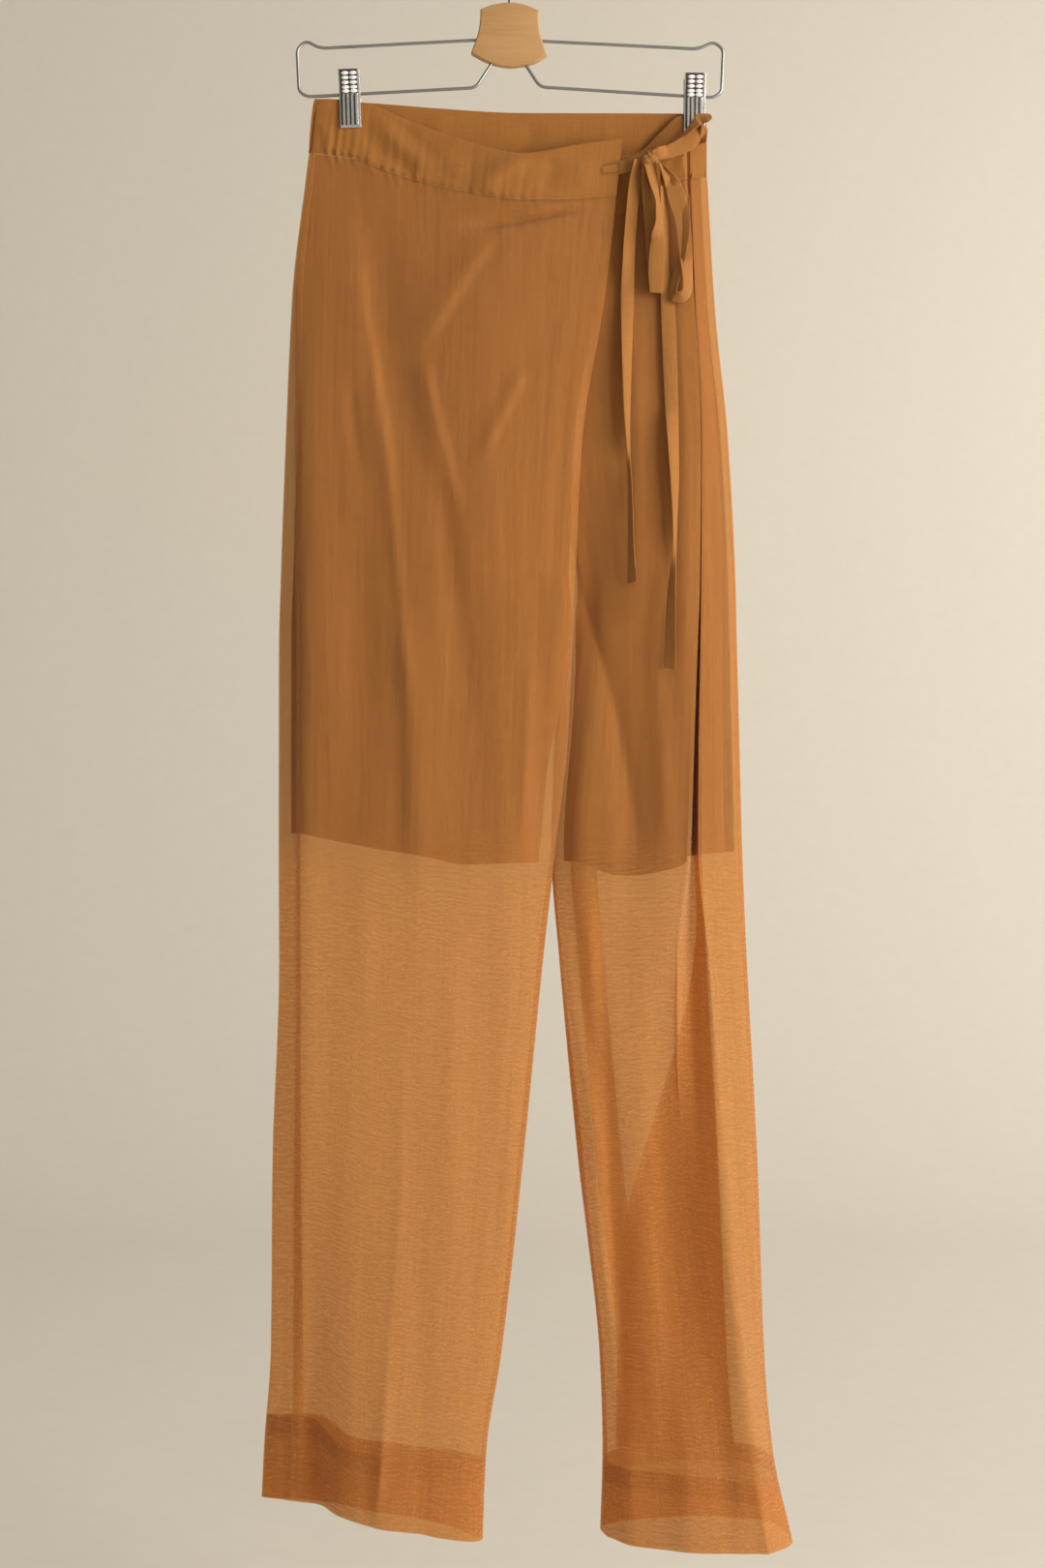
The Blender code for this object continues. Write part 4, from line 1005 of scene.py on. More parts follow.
def thread_finish(name, colour):
    """Twisted sewing thread, a little darker in places."""
    finish = Finish(name)
    twist = finish.noise(finish.spot(), scale=2500.0, detail=1.0, dimensions="3D")
    base = finish.blend(twist, rgba(colour, 0.8), rgba(colour, 1.2))
    return finish.surface(finish.principled(base, 0.6))


def metal_finish(name, colour, rough, brushed):
    """Drawn or polished steel, faintly streaked along its length and dulled in places."""
    finish = Finish(name)
    spot = finish.spot()
    fine = finish.grain(spot, (brushed, 3000, brushed), 3.0)
    dull = finish.noise(spot, scale=60.0, detail=4.0, dimensions="3D")
    base = finish.blend(dull, rgba(colour, 0.82), rgba(colour, 1.1))
    bump = finish.bump(0.15, 0.0001, fine)
    return finish.surface(finish.principled(
        base, fine * 0.12 + dull * 0.1 + rough, Metallic=1.0, Normal=bump))


def wood_finish(name, light, dark):
    """Beech with its grain across, faint flecks and a waxed face."""
    finish = Finish(name)
    spot = finish.spot()
    bend = finish.grain(spot, (14, 40, 70), 2.0)
    grain = finish.grain(spot, (26, 160, 420), 3.0)
    fleck = finish.grain(spot, (240, 1200, 1700), 2.0)
    share = grain * 0.5 + bend * 0.3 + fleck * 0.35 - 0.08
    bump = finish.bump(0.2, 0.0003, fleck * 0.6 + grain * 0.4)
    return finish.surface(finish.principled(
        finish.blend(share, rgba(dark), rgba(light)), fleck * 0.15 + 0.42, Normal=bump))


def plaster_finish(colour):
    """Painted plaster, a little mottled."""
    finish = Finish("plaster")
    grain = finish.noise(finish.spot(), scale=35.0, detail=5.0, dimensions="3D")
    mottled = finish.blend(grain, rgba(colour, 0.97), rgba(colour, 1.03))
    return finish.surface(finish.principled(
        mottled, 0.9, Normal=finish.bump(0.1, 0.002, grain)))


# ---- What a user can change ----

COLOUR = {"subtype": "COLOR", "size": 3, "min": 0, "max": 1}
SHARE = {"subtype": "FACTOR", "min": 0, "max": 1}


class ClothSettings(bpy.types.PropertyGroup):
    """Colours and sheerness of the cloth."""

    shell_colour: bpy.props.FloatVectorProperty(
        name="Sheer cloth", description="Colour of the sheer outer cloth's threads",
        default=(0.64, 0.318, 0.100), **COLOUR)
    thread_colour: bpy.props.FloatVectorProperty(
        name="Thread", description="Colour of the sewing thread",
        default=(0.22, 0.088, 0.022), **COLOUR)
    band_colour: bpy.props.FloatVectorProperty(
        name="Waistband cloth", description="Colour of the doubled waistband cloth",
        default=(0.40, 0.158, 0.034), **COLOUR)
    lining_colour: bpy.props.FloatVectorProperty(
        name="Lining", description="Colour of the lining's threads",
        default=(0.47, 0.222, 0.070), **COLOUR)
    tie_colour: bpy.props.FloatVectorProperty(
        name="Ties", description="Colour of the ties and the bow",
        default=(0.43, 0.182, 0.046), **COLOUR)
    shell_cover: bpy.props.FloatProperty(
        name="Sheer cover",
        description="Share of one face of the sheer cloth that its threads cover",
        default=0.34, **SHARE)
    lining_cover: bpy.props.FloatProperty(
        name="Lining cover", description="Share of one face of the lining that its threads cover",
        default=0.7, **SHARE)
    hem_fold: bpy.props.FloatProperty(
        name="Hem's folded edge", description="How far the raw edge is folded in at the hem's top",
        default=HEM_FOLD * MM, min=0.005, max=0.03, unit="LENGTH")


class HangerSettings(bpy.types.PropertyGroup):
    """Colours of the hanger."""

    wood_light: bpy.props.FloatVectorProperty(
        name="Light wood", description="Lightest colour of the block's wood",
        default=(0.54, 0.315, 0.132), **COLOUR)
    wood_dark: bpy.props.FloatVectorProperty(
        name="Dark grain", description="Colour of the block's grain",
        default=(0.355, 0.175, 0.058), **COLOUR)
    wire_colour: bpy.props.FloatVectorProperty(
        name="Wire", description="Colour of the drawn steel wire",
        default=(0.36, 0.35, 0.34), **COLOUR)
    # Painted shade: the clips' grooves get a much darker steel than the plate, standing in for the
    # shade that falls in them.
    groove_shade_colour: bpy.props.FloatVectorProperty(
        name="Clip grooves", description="Colour of the clips' grooves, painted dark for their shade",
        default=(0.10, 0.085, 0.075), **COLOUR)
    clip_colour: bpy.props.FloatVectorProperty(
        name="Clips", description="Colour of the clips' plated steel",
        default=(0.75, 0.73, 0.69), **COLOUR)


class StageSettings(bpy.types.PropertyGroup):
    """The plain stage round the object."""

    floor_height: bpy.props.FloatProperty(
        name="Floor", description="Height of the floor", default=-1.5, unit="LENGTH")
    wall_distance: bpy.props.FloatProperty(
        name="Wall", description="Distance of the wall behind the object", default=4.0,
        unit="LENGTH")
    wall_colour: bpy.props.FloatVectorProperty(
        name="Wall colour", description="Colour of the floor and wall",
        default=(0.74, 0.69, 0.60), **COLOUR)
    key_power: bpy.props.FloatProperty(
        name="Key light", description="Power of the large light at the right", default=74.0,
        min=0, unit="POWER")
    sky: bpy.props.FloatProperty(
        name="Room light", description="Strength of the even light of the room", default=0.50,
        min=0)


# ---- Pieces ----

def rows_above_hem(name, columns, rows):
    """The heights of a panel's rows from its waistband's seam to the top of its hem."""
    panel = PANELS[name]
    top = edge_height(panel, panel.top, columns, BAND_HEIGHT_GUESS)
    share = np.expm1(ROW_GROWTH * np.linspace(0, 1, rows)[:, None]) / math.expm1(ROW_GROWTH)
    return mix(top, edge_height(panel, panel.hem_top, columns), share)


def panel_shell(name):
    """A panel, with its hem turned in at the bottom and run back up to the hem's top."""
    panel = PANELS[name]
    columns = np.linspace(0, panel.last, panel.across)
    upper = rows_above_hem(name, columns, panel.down)
    hem = edge_height(panel, panel.hem, columns) + HEM_TURN
    lower = mix(upper[-1], hem, np.linspace(0, 1, HEM_ROWS + 1)[1:, None])
    face, normals = panel_surface(name, columns, np.concatenate([upper, lower]))
    middle = face - normals * CLOTH / 2
    return shell(turned(middle, normals, HEM_ROWS + 1, HEM_TURN), CLOTH)


def seam_strip(name, first, last, start=math.inf):
    """A seam's two pressed allowances, a narrow strip inside the panel along its edge."""
    columns = np.linspace(first, last, 5)
    heights = rows_above_hem(name, columns, STRIP_ROWS)
    heights = heights[heights[:, 0] < start]
    face, normals = panel_surface(name, columns, heights)
    return shell(face - normals * STRIP_INSIDE, STRIP_CLOTH)


def hem_fold(name, depth):
    """The hem's raw edge, folded in along the top of the hem inside the leg."""
    panel = PANELS[name]
    columns = np.linspace(0.04, panel.last - 0.04, panel.across)
    top = edge_height(panel, panel.hem_top, columns) - 0.3
    face, normals = panel_surface(name, columns, top - np.linspace(0, depth, 6)[:, None])
    return shell(face - normals * HEM_FOLD_INSIDE, HEM_FOLD_CLOTH)


def between_columns(face, columns, first, last):
    """A face drawn in, row by row, between a first and a last column."""
    for row, row_first, row_last in zip(face, first, last):
        wanted = np.linspace(row_first, row_last, len(columns))
        row[:] = np.stack([np.interp(wanted, columns, row[:, axis]) for axis in range(3)], axis=1)


def soft_fold(name, fold):
    """One more layer of the back, where it hangs folded inside the leg."""
    columns = np.linspace(min(fold.first), max(fold.last), 40)
    share = np.linspace(0, 1, 90)
    heights = np.tile(mix(*fold.heights, share)[:, None], (1, len(columns)))
    face, _ = panel_surface(name, columns, heights)
    widens = step(0.1, 1, share)
    between_columns(face, columns, mix(*fold.first, share), mix(*fold.last, widens))
    return shell(face - outward(face) * (CLOTH + fold.inside), CLOTH * 0.8)


class PANTS_OT_panels(bpy.types.Operator):
    """Makes the two fronts and two backs, each with its hem turned up inside"""

    bl_idname = "pants.panels"
    bl_label = "Front and back panels"

    def execute(self, context):
        cloth = context.scene.pants_cloth
        finish = cloth_finish(
            "sheer cloth", cloth.shell_colour, cloth.shell_cover, (0.98, 0.89, 0.75), 0.35,
            crinkled=0.09, moire=0.15, sheen=0.5)
        for name, panel in PANELS.items():
            shells = [panel_shell(name), hem_fold(name, cloth.hem_fold / MM)]
            shells += [seam_strip(name, *strip) for strip in SEAM_STRIPS[name]]
            if name == "left_back":
                shells += [soft_fold(name, fold) for fold in BACK_FOLDS]
            obj = add_cloth(f"cloth_{name}", shells, finish)
            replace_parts(obj, *(f"{name}_{part}" for part in panel.body_nodes))
        return {"FINISHED"}


def seam_row(name):
    """The top row of a panel, where its waistband is sewn on."""
    columns = np.linspace(0, PANELS[name].last, 150)
    return panel_surface(name, columns, rows_above_hem(name, columns, 40))[0][0]


def band_face(name, band):
    """The outer face of a waistband, its rows running down from its top edge to its seam."""
    rows = [seam_row(panel) for panel in band.panels]
    row = np.concatenate([*(one[:-1] for one in rows[:-1]), rows[-1]])
    span = row[-1, 0] - row[0, 0]
    across = mix(band.top[0][0], band.top[-1][0], (row[:, 0] - row[0, 0]) / span)
    upper = np.stack([across, along(band.top, across, 2), along(band.top, across, 1)], axis=1)
    share = np.linspace(0, 1, BAND_ROWS)[:, None, None]
    face = mix(upper[None], row[None], share)
    normals = outward(face)
    x, z = face[..., 0], face[..., 2]
    away = step(0, 4, z - z[-1:])
    lift = sum(crease_lift(crease, x, z) for crease in CREASES[name])
    lift = lift * away * step(0, 8, z[:1] - z)
    if name == "waistband_wrap":
        lift = lift + pucker_lift(x, z[-1:] - z) * away
    crown = BAND_CROWN * np.sin(math.pi * share[..., 0])
    face = face + normals * (lift + crown)[..., None]
    return face, outward(face)


def band_shell(name, band):
    """A waistband of doubled cloth, folded over at its top."""
    face, normals = band_face(name, band)
    middle = face - normals * CLOTH / 2
    rising = turned(middle[::-1], normals[::-1], len(middle), BAND_TURN)
    return shell(rising[:, ::-1], CLOTH)


class PANTS_OT_bands(bpy.types.Operator):
    """Makes the wrap's waistband, the one under it and the back's"""

    bl_idname = "pants.bands"
    bl_label = "Waistbands"

    def execute(self, context):
        cloth = context.scene.pants_cloth
        finish = cloth_finish(
            "waistband cloth", cloth.band_colour, 0.88, (0.62, 0.40, 0.18), 0.12, lets_light=False)
        for name, band in BANDS.items():
            obj = add_cloth(f"cloth_{name}", [band_shell(name, band)], finish)
            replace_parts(obj, name)
        return {"FINISHED"}


def lining_shell(cut):
    """A lining, held inside its panel and drawn in below the hip."""
    panel = PANELS[cut.panel]
    columns = np.linspace(
        min(cut.first_top, cut.first_hem), max(cut.last_top, cut.last_hem), 84)
    seam = edge_height(panel, panel.top, columns, BAND_HEIGHT_GUESS)
    hem = edge_height(panel, cut.hem, columns, LINING_HEIGHT_GUESS)
    share = np.linspace(0, 1, 120)[:, None]
    face, _ = panel_surface(cut.panel, columns, mix(seam - LINING_START, hem, share), seam)
    narrows = step(*LINING_NARROWS, -face[:, 0, 2])
    first = mix(cut.first_top, cut.first_hem, narrows)
    between_columns(face, columns, first, mix(cut.last_top, cut.last_hem, narrows))
    drops = mix(LINING_DROP, LINING_HEM_DROP, step(0.9, 1.0, share))[..., None]
    return shell(face - outward(face) * (drops + LINING_CLOTH / 2), LINING_CLOTH)


class PANTS_OT_linings(bpy.types.Operator):
    """Makes the thigh-length lining inside each panel"""

    bl_idname = "pants.linings"
    bl_label = "Linings"

    def execute(self, context):
        cloth = context.scene.pants_cloth
        finish = cloth_finish(
            "lining cloth", cloth.lining_colour, cloth.lining_cover, (0.75, 0.52, 0.28), 0.3,
            crinkled=0.08, lets_light=False)
        for name, cut in LININGS.items():
            obj = add_cloth(f"cloth_{name}", [lining_shell(cut)], finish)
            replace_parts(obj, name)
        return {"FINISHED"}


def strap_shell(strap):
    """A flat strap through its sections. Where it shows narrow, one edge stands out in front."""
    places = np.arange(len(strap.rows))
    at = np.linspace(0, places[-1], 10 * places[-1] + 1)
    x1, z1, x2, z2, y = (smooth(places, field, at)[:, None] for field in zip(*strap.rows))
    side = np.linspace(0, 1, 9)[None, :]
    shown = np.hypot(x2 - x1, z2 - z1)
    stands = np.sqrt(np.clip(TIE_WIDTH**2 - shown**2, 0, TIE_MOST_TURN**2))
    out = side if strap.out_edge > 0 else 1 - side
    over = step(-0.5, 0.5, at - strap.turns_over)[:, None]
    turn = stands * mix(out, 1 - out, over) if strap.out_edge else 0.0
    hollow = TIE_CUP * np.cos(math.pi * (side - 0.5)) * np.sin(0.9 * at[:, None] + 0.6)
    depth = y + TIE_CLOTH / 2 + hollow - turn
    middle = np.stack([mix(x1, x2, side), depth, mix(z1, z2, side)], axis=2)
    edge = 1 - 0.55 * np.abs(2 * side - 1) ** 5
    return shell(middle, TIE_CLOTH * np.broadcast_to(edge, depth.shape))


class PANTS_OT_ties(bpy.types.Operator):
    """Makes the ties, the bow's two loops and tails, and its knot"""

    bl_idname = "pants.ties"
    bl_label = "Ties and bow"

    def execute(self, context):
        cloth = context.scene.pants_cloth
        finish = cloth_finish(
            "tie cloth", cloth.tie_colour, 0.86, (0.7, 0.42, 0.2), 0.15, lets_light=False)
        for name, strap in STRAPS.items():
            obj = add_cloth(f"cloth_{name}", [strap_shell(strap)], finish, angle=80)
            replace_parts(obj, *strap.nodes)
        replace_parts(add_knot(finish), "bow_knot")
        return {"FINISHED"}


def add_knot(finish):
    """The bow's knot: a squarish ball with the grooves of its folds."""
    bpy.ops.mesh.primitive_uv_sphere_add(segments=40, ring_count=24, radius=1.0)
    knot = bpy.context.object
    knot.name = knot.data.name = "cloth_bow_knot"
    centre = Vector(KNOT_CENTRE)
    for vert in knot.data.vertices:
        x, _, z = vert.co
        around = math.atan2(z, x)
        groove = 1 - 0.2 * math.exp(-(((x * 0.8 + z * 0.5) / 0.14) ** 2))
        groove -= 0.14 * math.exp(-(((z - 0.55 * x - 0.5) / 0.13) ** 2))
        boxy = 1 + 0.10 * math.cos(4 * around)
        swell = Vector((KNOT_HALF[0] * boxy, KNOT_HALF[1], KNOT_HALF[2] * boxy)) * groove
        vert.co = (centre + vert.co * swell) * MM
    layer = knot.data.uv_layers[0]
    layer.name = "cloth run"
    for uv in layer.data:
        uv.uv *= 0.03
    knot.data.materials.append(finish)
    bpy.ops.object.shade_smooth()
    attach(knot, "root")
    return knot


def stitch_run(line, ways_out, thread):
    """Stitches along a line on the cloth, each a short thread that dips in at both ends."""
    run = run_length(line)
    starts = np.arange(thread.pitch / 2, run[-1] - thread.pitch / 2, thread.pitch)

    def on_run(at, values):
        return np.stack([np.interp(at, run, values[:, axis]) for axis in range(3)], axis=1)

    places, out = on_run(starts, line), on_run(starts, ways_out)
    along_way = on_run(starts + 0.5, line) - places
    along_way /= np.linalg.norm(along_way, axis=1, keepdims=True)
    across_way = np.cross(out, along_way)
    sections, sides = len(STITCH_SECTIONS), STITCH_SIDES
    share = np.linspace(-1, 1, sections)
    radius = thread.radius * np.array(STITCH_SECTIONS)
    lift = thread.rise - STITCH_DIP * share**4
    corners = np.linspace(0, math.tau, sides, endpoint=False)
    points = (
        places[:, None, None]
        + along_way[:, None, None] * (share * thread.length / 2)[:, None, None]
        + out[:, None, None] * (lift[:, None] + radius[:, None] * np.sin(corners))[..., None]
        + across_way[:, None, None] * (radius[:, None] * np.cos(corners))[..., None]
    )
    at = np.arange(sections * sides).reshape(sections, sides)
    near, far = at[:-1], at[1:]
    walls = quads(near, np.roll(near, -1, axis=1), np.roll(far, -1, axis=1), far)
    faces = [*walls.tolist(), at[0][::-1].tolist(), at[-1].tolist()]
    firsts = range(0, len(starts) * at.size, at.size)
    every = [[corner + first for corner in face] for first in firsts for face in faces]
    return points.reshape(-1, 3) * MM, every


def add_stitches(name, runs, finish):
    """One piece of all the stitches along several lines."""
    points, faces = [], []
    for line, ways_out, thread in runs:
        more, more_faces = stitch_run(line, ways_out, thread)
        faces += [[corner + len(points) for corner in face] for face in more_faces]
        points += more.tolist()
    mesh = bpy.data.meshes.new(name)
    mesh.from_pydata(points, [], faces)
    return finished(add_object(name, mesh), name, finish, 80)


def band_line(name, band):
    """The line of stitches along a waistband's lower edge."""
    face, normals = band_face(name, band)
    return face[-2], normals[-2], TOPSTITCH


def hem_line(name):
    """The line of stitches that holds a hem's top, on the outside of its leg."""
    panel = PANELS[name]
    columns = np.linspace(0.05, panel.last - 0.05, panel.across)
    top = edge_height(panel, panel.hem_top, columns)
    heights = top - np.array([0.0, 1.2, 2.4])[:, None]
    face, normals = panel_surface(name, columns, heights)
    return face[1], normals[1], HEM_STITCH


def box_line():
    """The box of stitches that holds the tie's end on the wrap's waistband."""
    x1, z1, _, z2, depth = STRAPS["tie_wrap"].rows[0]
    corners = [(x1 + 1.4, z1 - 1.4), (x1 + 15, z1 + 1), (x1 + 15, z2 + 2.4), (x1 + 1.4, z2 + 1.4)]
    line = []
    for (xa, za), (xb, zb) in zip(corners, corners[1:] + corners[:1]):
        for share in np.linspace(0, 1, 12, endpoint=False):
            line.append((mix(xa, xb, share), depth - TIE_CLOTH / 2 - 0.15, mix(za, zb, share)))
    line = np.array(line)
    return line, np.tile((0.0, -1.0, 0.0), (len(line), 1)), BOX_STITCH


class PANTS_OT_stitches(bpy.types.Operator):
    """Sews the waistbands' lower edges, the hems and the tie's end"""

    bl_idname = "pants.stitches"
    bl_label = "Stitches"

    def execute(self, context):
        cloth = context.scene.pants_cloth
        finish = thread_finish("sewing thread", cloth.thread_colour)
        bands = [band_line(name, band) for name, band in BANDS.items()]
        hems = [hem_line(name) for name in PANELS]
        add_stitches("waistband_stitches", bands, finish)
        add_stitches("hem_stitches", hems, finish)
        add_stitches("tie_stitches", [box_line()], finish)
        return {"FINISHED"}


def rounded(corners, radius):
    """A line through corners, each a short curve that starts a reach from it."""
    points = [Vector(corners[0])]
    for before, corner, after in zip(corners, corners[1:], corners[2:]):
        corner = Vector(corner)
        back, ahead = Vector(before) - corner, Vector(after) - corner
        reach = min(radius, back.length / 2.2, ahead.length / 2.2)
        start, end = corner + back.normalized() * reach, corner + ahead.normalized() * reach
        for share in np.linspace(0, 1, BEND_STEPS + 1):
            points.append(start.lerp(corner, share).lerp(corner.lerp(end, share), share))
    points.append(Vector(corners[-1]))
    return points


def hook_points():
    """Up from the block, round over the rod, and down to the free tip."""
    arc = [math.radians(angle) for angle in HOOK_ANGLES]
    circle = [(HOOK_REACH * math.cos(a), HOOK_REACH * math.sin(a) + HOOK_CENTRE) for a in arc]
    return [*rounded([*HOOK_STEM, circle[0]], 3), *circle[1:]]


def add_wire(name, points, radius, finish, tip=()):
    """A drawn wire along points (across, height or across, depth, height), as a closed mesh."""
    curve = bpy.data.curves.new(name, "CURVE")
    curve.dimensions = "3D"
    curve.bevel_depth = radius * MM
    curve.bevel_resolution = 4
    curve.use_fill_caps = True
    line = curve.splines.new("POLY")
    line.points.add(len(points) - 1)
    for point, spot in zip(line.points, points):
        x, y, z = spot if len(spot) == 3 else (spot[0], 0.0, spot[1])
        point.co = (x * MM, y * MM, z * MM, 1.0)
    for point, share in zip(reversed(line.points), tip):
        point.radius = share
    add_object(name, curve)
    bpy.ops.object.convert(target="MESH")
    return finished(bpy.context.object, name, finish, 50)


def finished(obj, name, finish, angle):
    """Smooths a rigid piece, and gives it its name, finish, body and material slot."""
    bpy.ops.object.mode_set(mode="OBJECT")
    select_only(obj)
    obj.name = obj.data.name = name
    bpy.ops.object.shade_smooth_by_angle(angle=math.radians(angle))
    if not obj.data.materials:
        obj.data.materials.append(finish)
    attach(obj, "root")
    return obj


def add_box(low, high):
    """A box between two corners, ready to be shaped."""
    middle = [(a + b) / 2 * MM for a, b in zip(low, high)]
    sides = [(b - a) * MM for a, b in zip(low, high)]
    bpy.ops.mesh.primitive_cube_add(size=1.0, location=middle, scale=sides)
    bpy.ops.object.transform_apply(location=True, rotation=True, scale=True)
    return bpy.context.object


def pick(obj, kind, test):
    """Selects the points or faces that pass a test of their place and way out, for shaping."""
    bpy.ops.object.mode_set(mode="OBJECT")
    bpy.context.tool_settings.mesh_select_mode = (kind == "points", False, kind == "faces")
    mesh = obj.data
    for parts in (mesh.vertices, mesh.edges, mesh.polygons):
        parts.foreach_set("select", [False] * len(parts))
    if kind == "points":
        for point in mesh.vertices:
            point.select = test(point.co / MM)
    else:
        for face in mesh.polygons:
            face.select = test(face.center / MM, face.normal)
    bpy.ops.object.mode_set(mode="EDIT")


def bisect(obj, spot, way):
    """Cuts the whole piece along a plane, and keeps both sides."""
    pick(obj, "faces", lambda centre, normal: True)
    bpy.ops.mesh.bisect(plane_co=[v * MM for v in spot], plane_no=way)


def turn_faces_out():
    """Turns every face of the active piece outwards."""
    bpy.ops.object.mode_set(mode="EDIT")
    bpy.ops.mesh.select_all(action="SELECT")
    bpy.ops.mesh.normals_make_consistent(inside=False)
    bpy.ops.object.mode_set(mode="OBJECT")


def copy_of(model):
    copy = model.copy()
    copy.data = model.data.copy()
    bpy.context.scene.collection.objects.link(copy)
    return copy


def profile_depth(drop):
    """How far from the wires' plane a clip's sheet lies, at a drop below its top."""
    drops, depths = zip(*CLIP_PROFILE)
    return float(smooth(drops, depths, np.array([float(drop)]))[0])


def model_clip_sheet(plate, groove_shade):
    """One sprung sheet of a clip: its flanges, ribs and grip, with its top at the origin, and
    painted shade as a dark steel on its flat front round the ribs and bumps.
    """
    half = CLIP_WIDTH / 2
    sheet = add_box((-half, -CLIP_SHEET, -CLIP_LENGTH), (half, 0, 0))
    bpy.ops.object.mode_set(mode="EDIT")
    bpy.ops.mesh.select_all(action="SELECT")
    bpy.ops.mesh.bevel(offset=CLIP_ROUND * MM, segments=2, affect="EDGES")
    for drop in (*FLANGE_DROPS, *RIB_DROPS):
        bisect(sheet, (0, 0, -drop), (0, 0, 1))
    for x in (-half + FLANGE_WALL, *(x for rib in RIBS for x in rib), half - FLANGE_WALL):
        bisect(sheet, (x, 0, 0), (1, 0, 0))
    pick(sheet, "faces", lambda c, n: n.y > 0.9 and abs(c.x) > half - FLANGE_WALL
         and FLANGE_DROPS[0] < -c.z < FLANGE_DROPS[1])
    bpy.ops.mesh.extrude_region_move(
        TRANSFORM_OT_translate={"value": (0, FLANGE_DEPTH * MM, 0)})
    pick(sheet, "faces", lambda c, n: n.y < -0.9 and RIB_DROPS[0] < -c.z < RIB_DROPS[1]
         and any(a < c.x < b for a, b in RIBS))
    bpy.ops.mesh.inset(thickness=RIB_SLOPE * MM, depth=RIB_RISE * MM, use_individual=True)
    for finish in (plate, groove_shade):
        sheet.data.materials.append(finish)
    # Painted shade: the flat front between and round the ribs and the grip's bumps takes the dark
    # groove steel.
    pick(sheet, "faces", lambda c, n: n.y < -0.9 and c.y > -CLIP_SHEET - 0.1
         and -half + FLANGE_WALL < c.x < RIBS[-1][1] and -c.z < RIB_DROPS[1])
    sheet.active_material_index = 1
    bpy.ops.object.material_slot_assign()
    for drop in CLIP_BENDS:
        bisect(sheet, (0, 0, -drop), (0, 0, 1))
    bend_by_rows(sheet)
    return with_grip(sheet)


def bend_by_rows(sheet):
    """Moves each row of points out to the sheet's curved side view."""
    bpy.ops.object.mode_set(mode="OBJECT")
    rows = sorted({round(point.co.z / MM, 2) for point in sheet.data.vertices})
    for row in rows:
        pick(sheet, "points", lambda spot: abs(spot.z - row) < 0.006)
        bpy.ops.transform.translate(value=(0, -profile_depth(-row) * MM, 0))
    bpy.ops.object.mode_set(mode="OBJECT")


def with_grip(sheet):
    """Joins the rows of pressed bumps to the sheet, each a copy of one flattened dome."""
    bpy.ops.mesh.primitive_uv_sphere_add(segments=16, ring_count=10, radius=MM, scale=GRIP_HALF)
    dome = bpy.context.object
    bpy.ops.object.transform_apply(location=False, rotation=False, scale=True)
    domes = []
    for x in GRIP_COLUMNS:
        for drop in GRIP_ROWS:
            copy = copy_of(dome)
            copy.location = Vector((x, -profile_depth(drop) - CLIP_SHEET, -drop)) * MM
            domes.append(copy)
    bpy.data.objects.remove(dome)
    select_only(sheet)
    for copy in domes:
        copy.select_set(True)
    bpy.ops.object.join()
    return sheet


def add_clip_sheets(finish, groove_shade):
    """Each clip's front and back sheet: copies of one, the back's mirrored."""
    model = model_clip_sheet(finish, groove_shade)
    for clip in CLIPS:
        for side, facing in (("front", 1), ("back", -1)):
            sheet = copy_of(model)
            sheet.scale = (1, facing, 1)
            sheet.rotation_euler.y = math.atan((clip.top_x - clip.bottom_x) / CLIP_LENGTH)
            sheet.location = Vector((clip.top_x, 0, clip.top_z)) * MM
            select_only(sheet)
            bpy.ops.object.transform_apply(location=True, rotation=True, scale=True)
            if facing < 0:
                turn_faces_out()
            name = f"clip_{clip.name}_{side}"
            finished(sheet, f"{name}_sheet", finish, 35)
            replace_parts(sheet, name)
    bpy.data.objects.remove(model)


def wire_height(corners, x):
    """The height of the wire's lower run at a place across."""
    for (x1, z1), (x2, z2) in zip(corners, corners[1:]):
        if min(z1, z2) < WIRE_LOWER and min(x1, x2) <= x <= max(x1, x2):
            return mix(z1, z2, (x - x1) / (x2 - x1))
    raise ValueError("the clip stands beside the wire")


def add_springs(finish):
    """The coil round the wire that closes each clip."""
    for clip, corners in zip(CLIPS, (LEFT_WIRE, RIGHT_WIRE)):
        height = wire_height(corners, clip.top_x)
        coil = []
        for share in np.linspace(0, 1, SPRING_STEPS * SPRING_TURNS + 1):
            angle = math.tau * SPRING_TURNS * share
            x = clip.top_x + SPRING_LENGTH * (share - 0.5)
            coil.append((
                x, SPRING_RADIUS * math.cos(angle), height + SPRING_RADIUS * math.sin(angle)))
        name = f"clip_{clip.name}_spring"
        spring = add_wire(f"{name}_coil", coil, SPRING_WIRE, finish)
        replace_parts(spring, name)


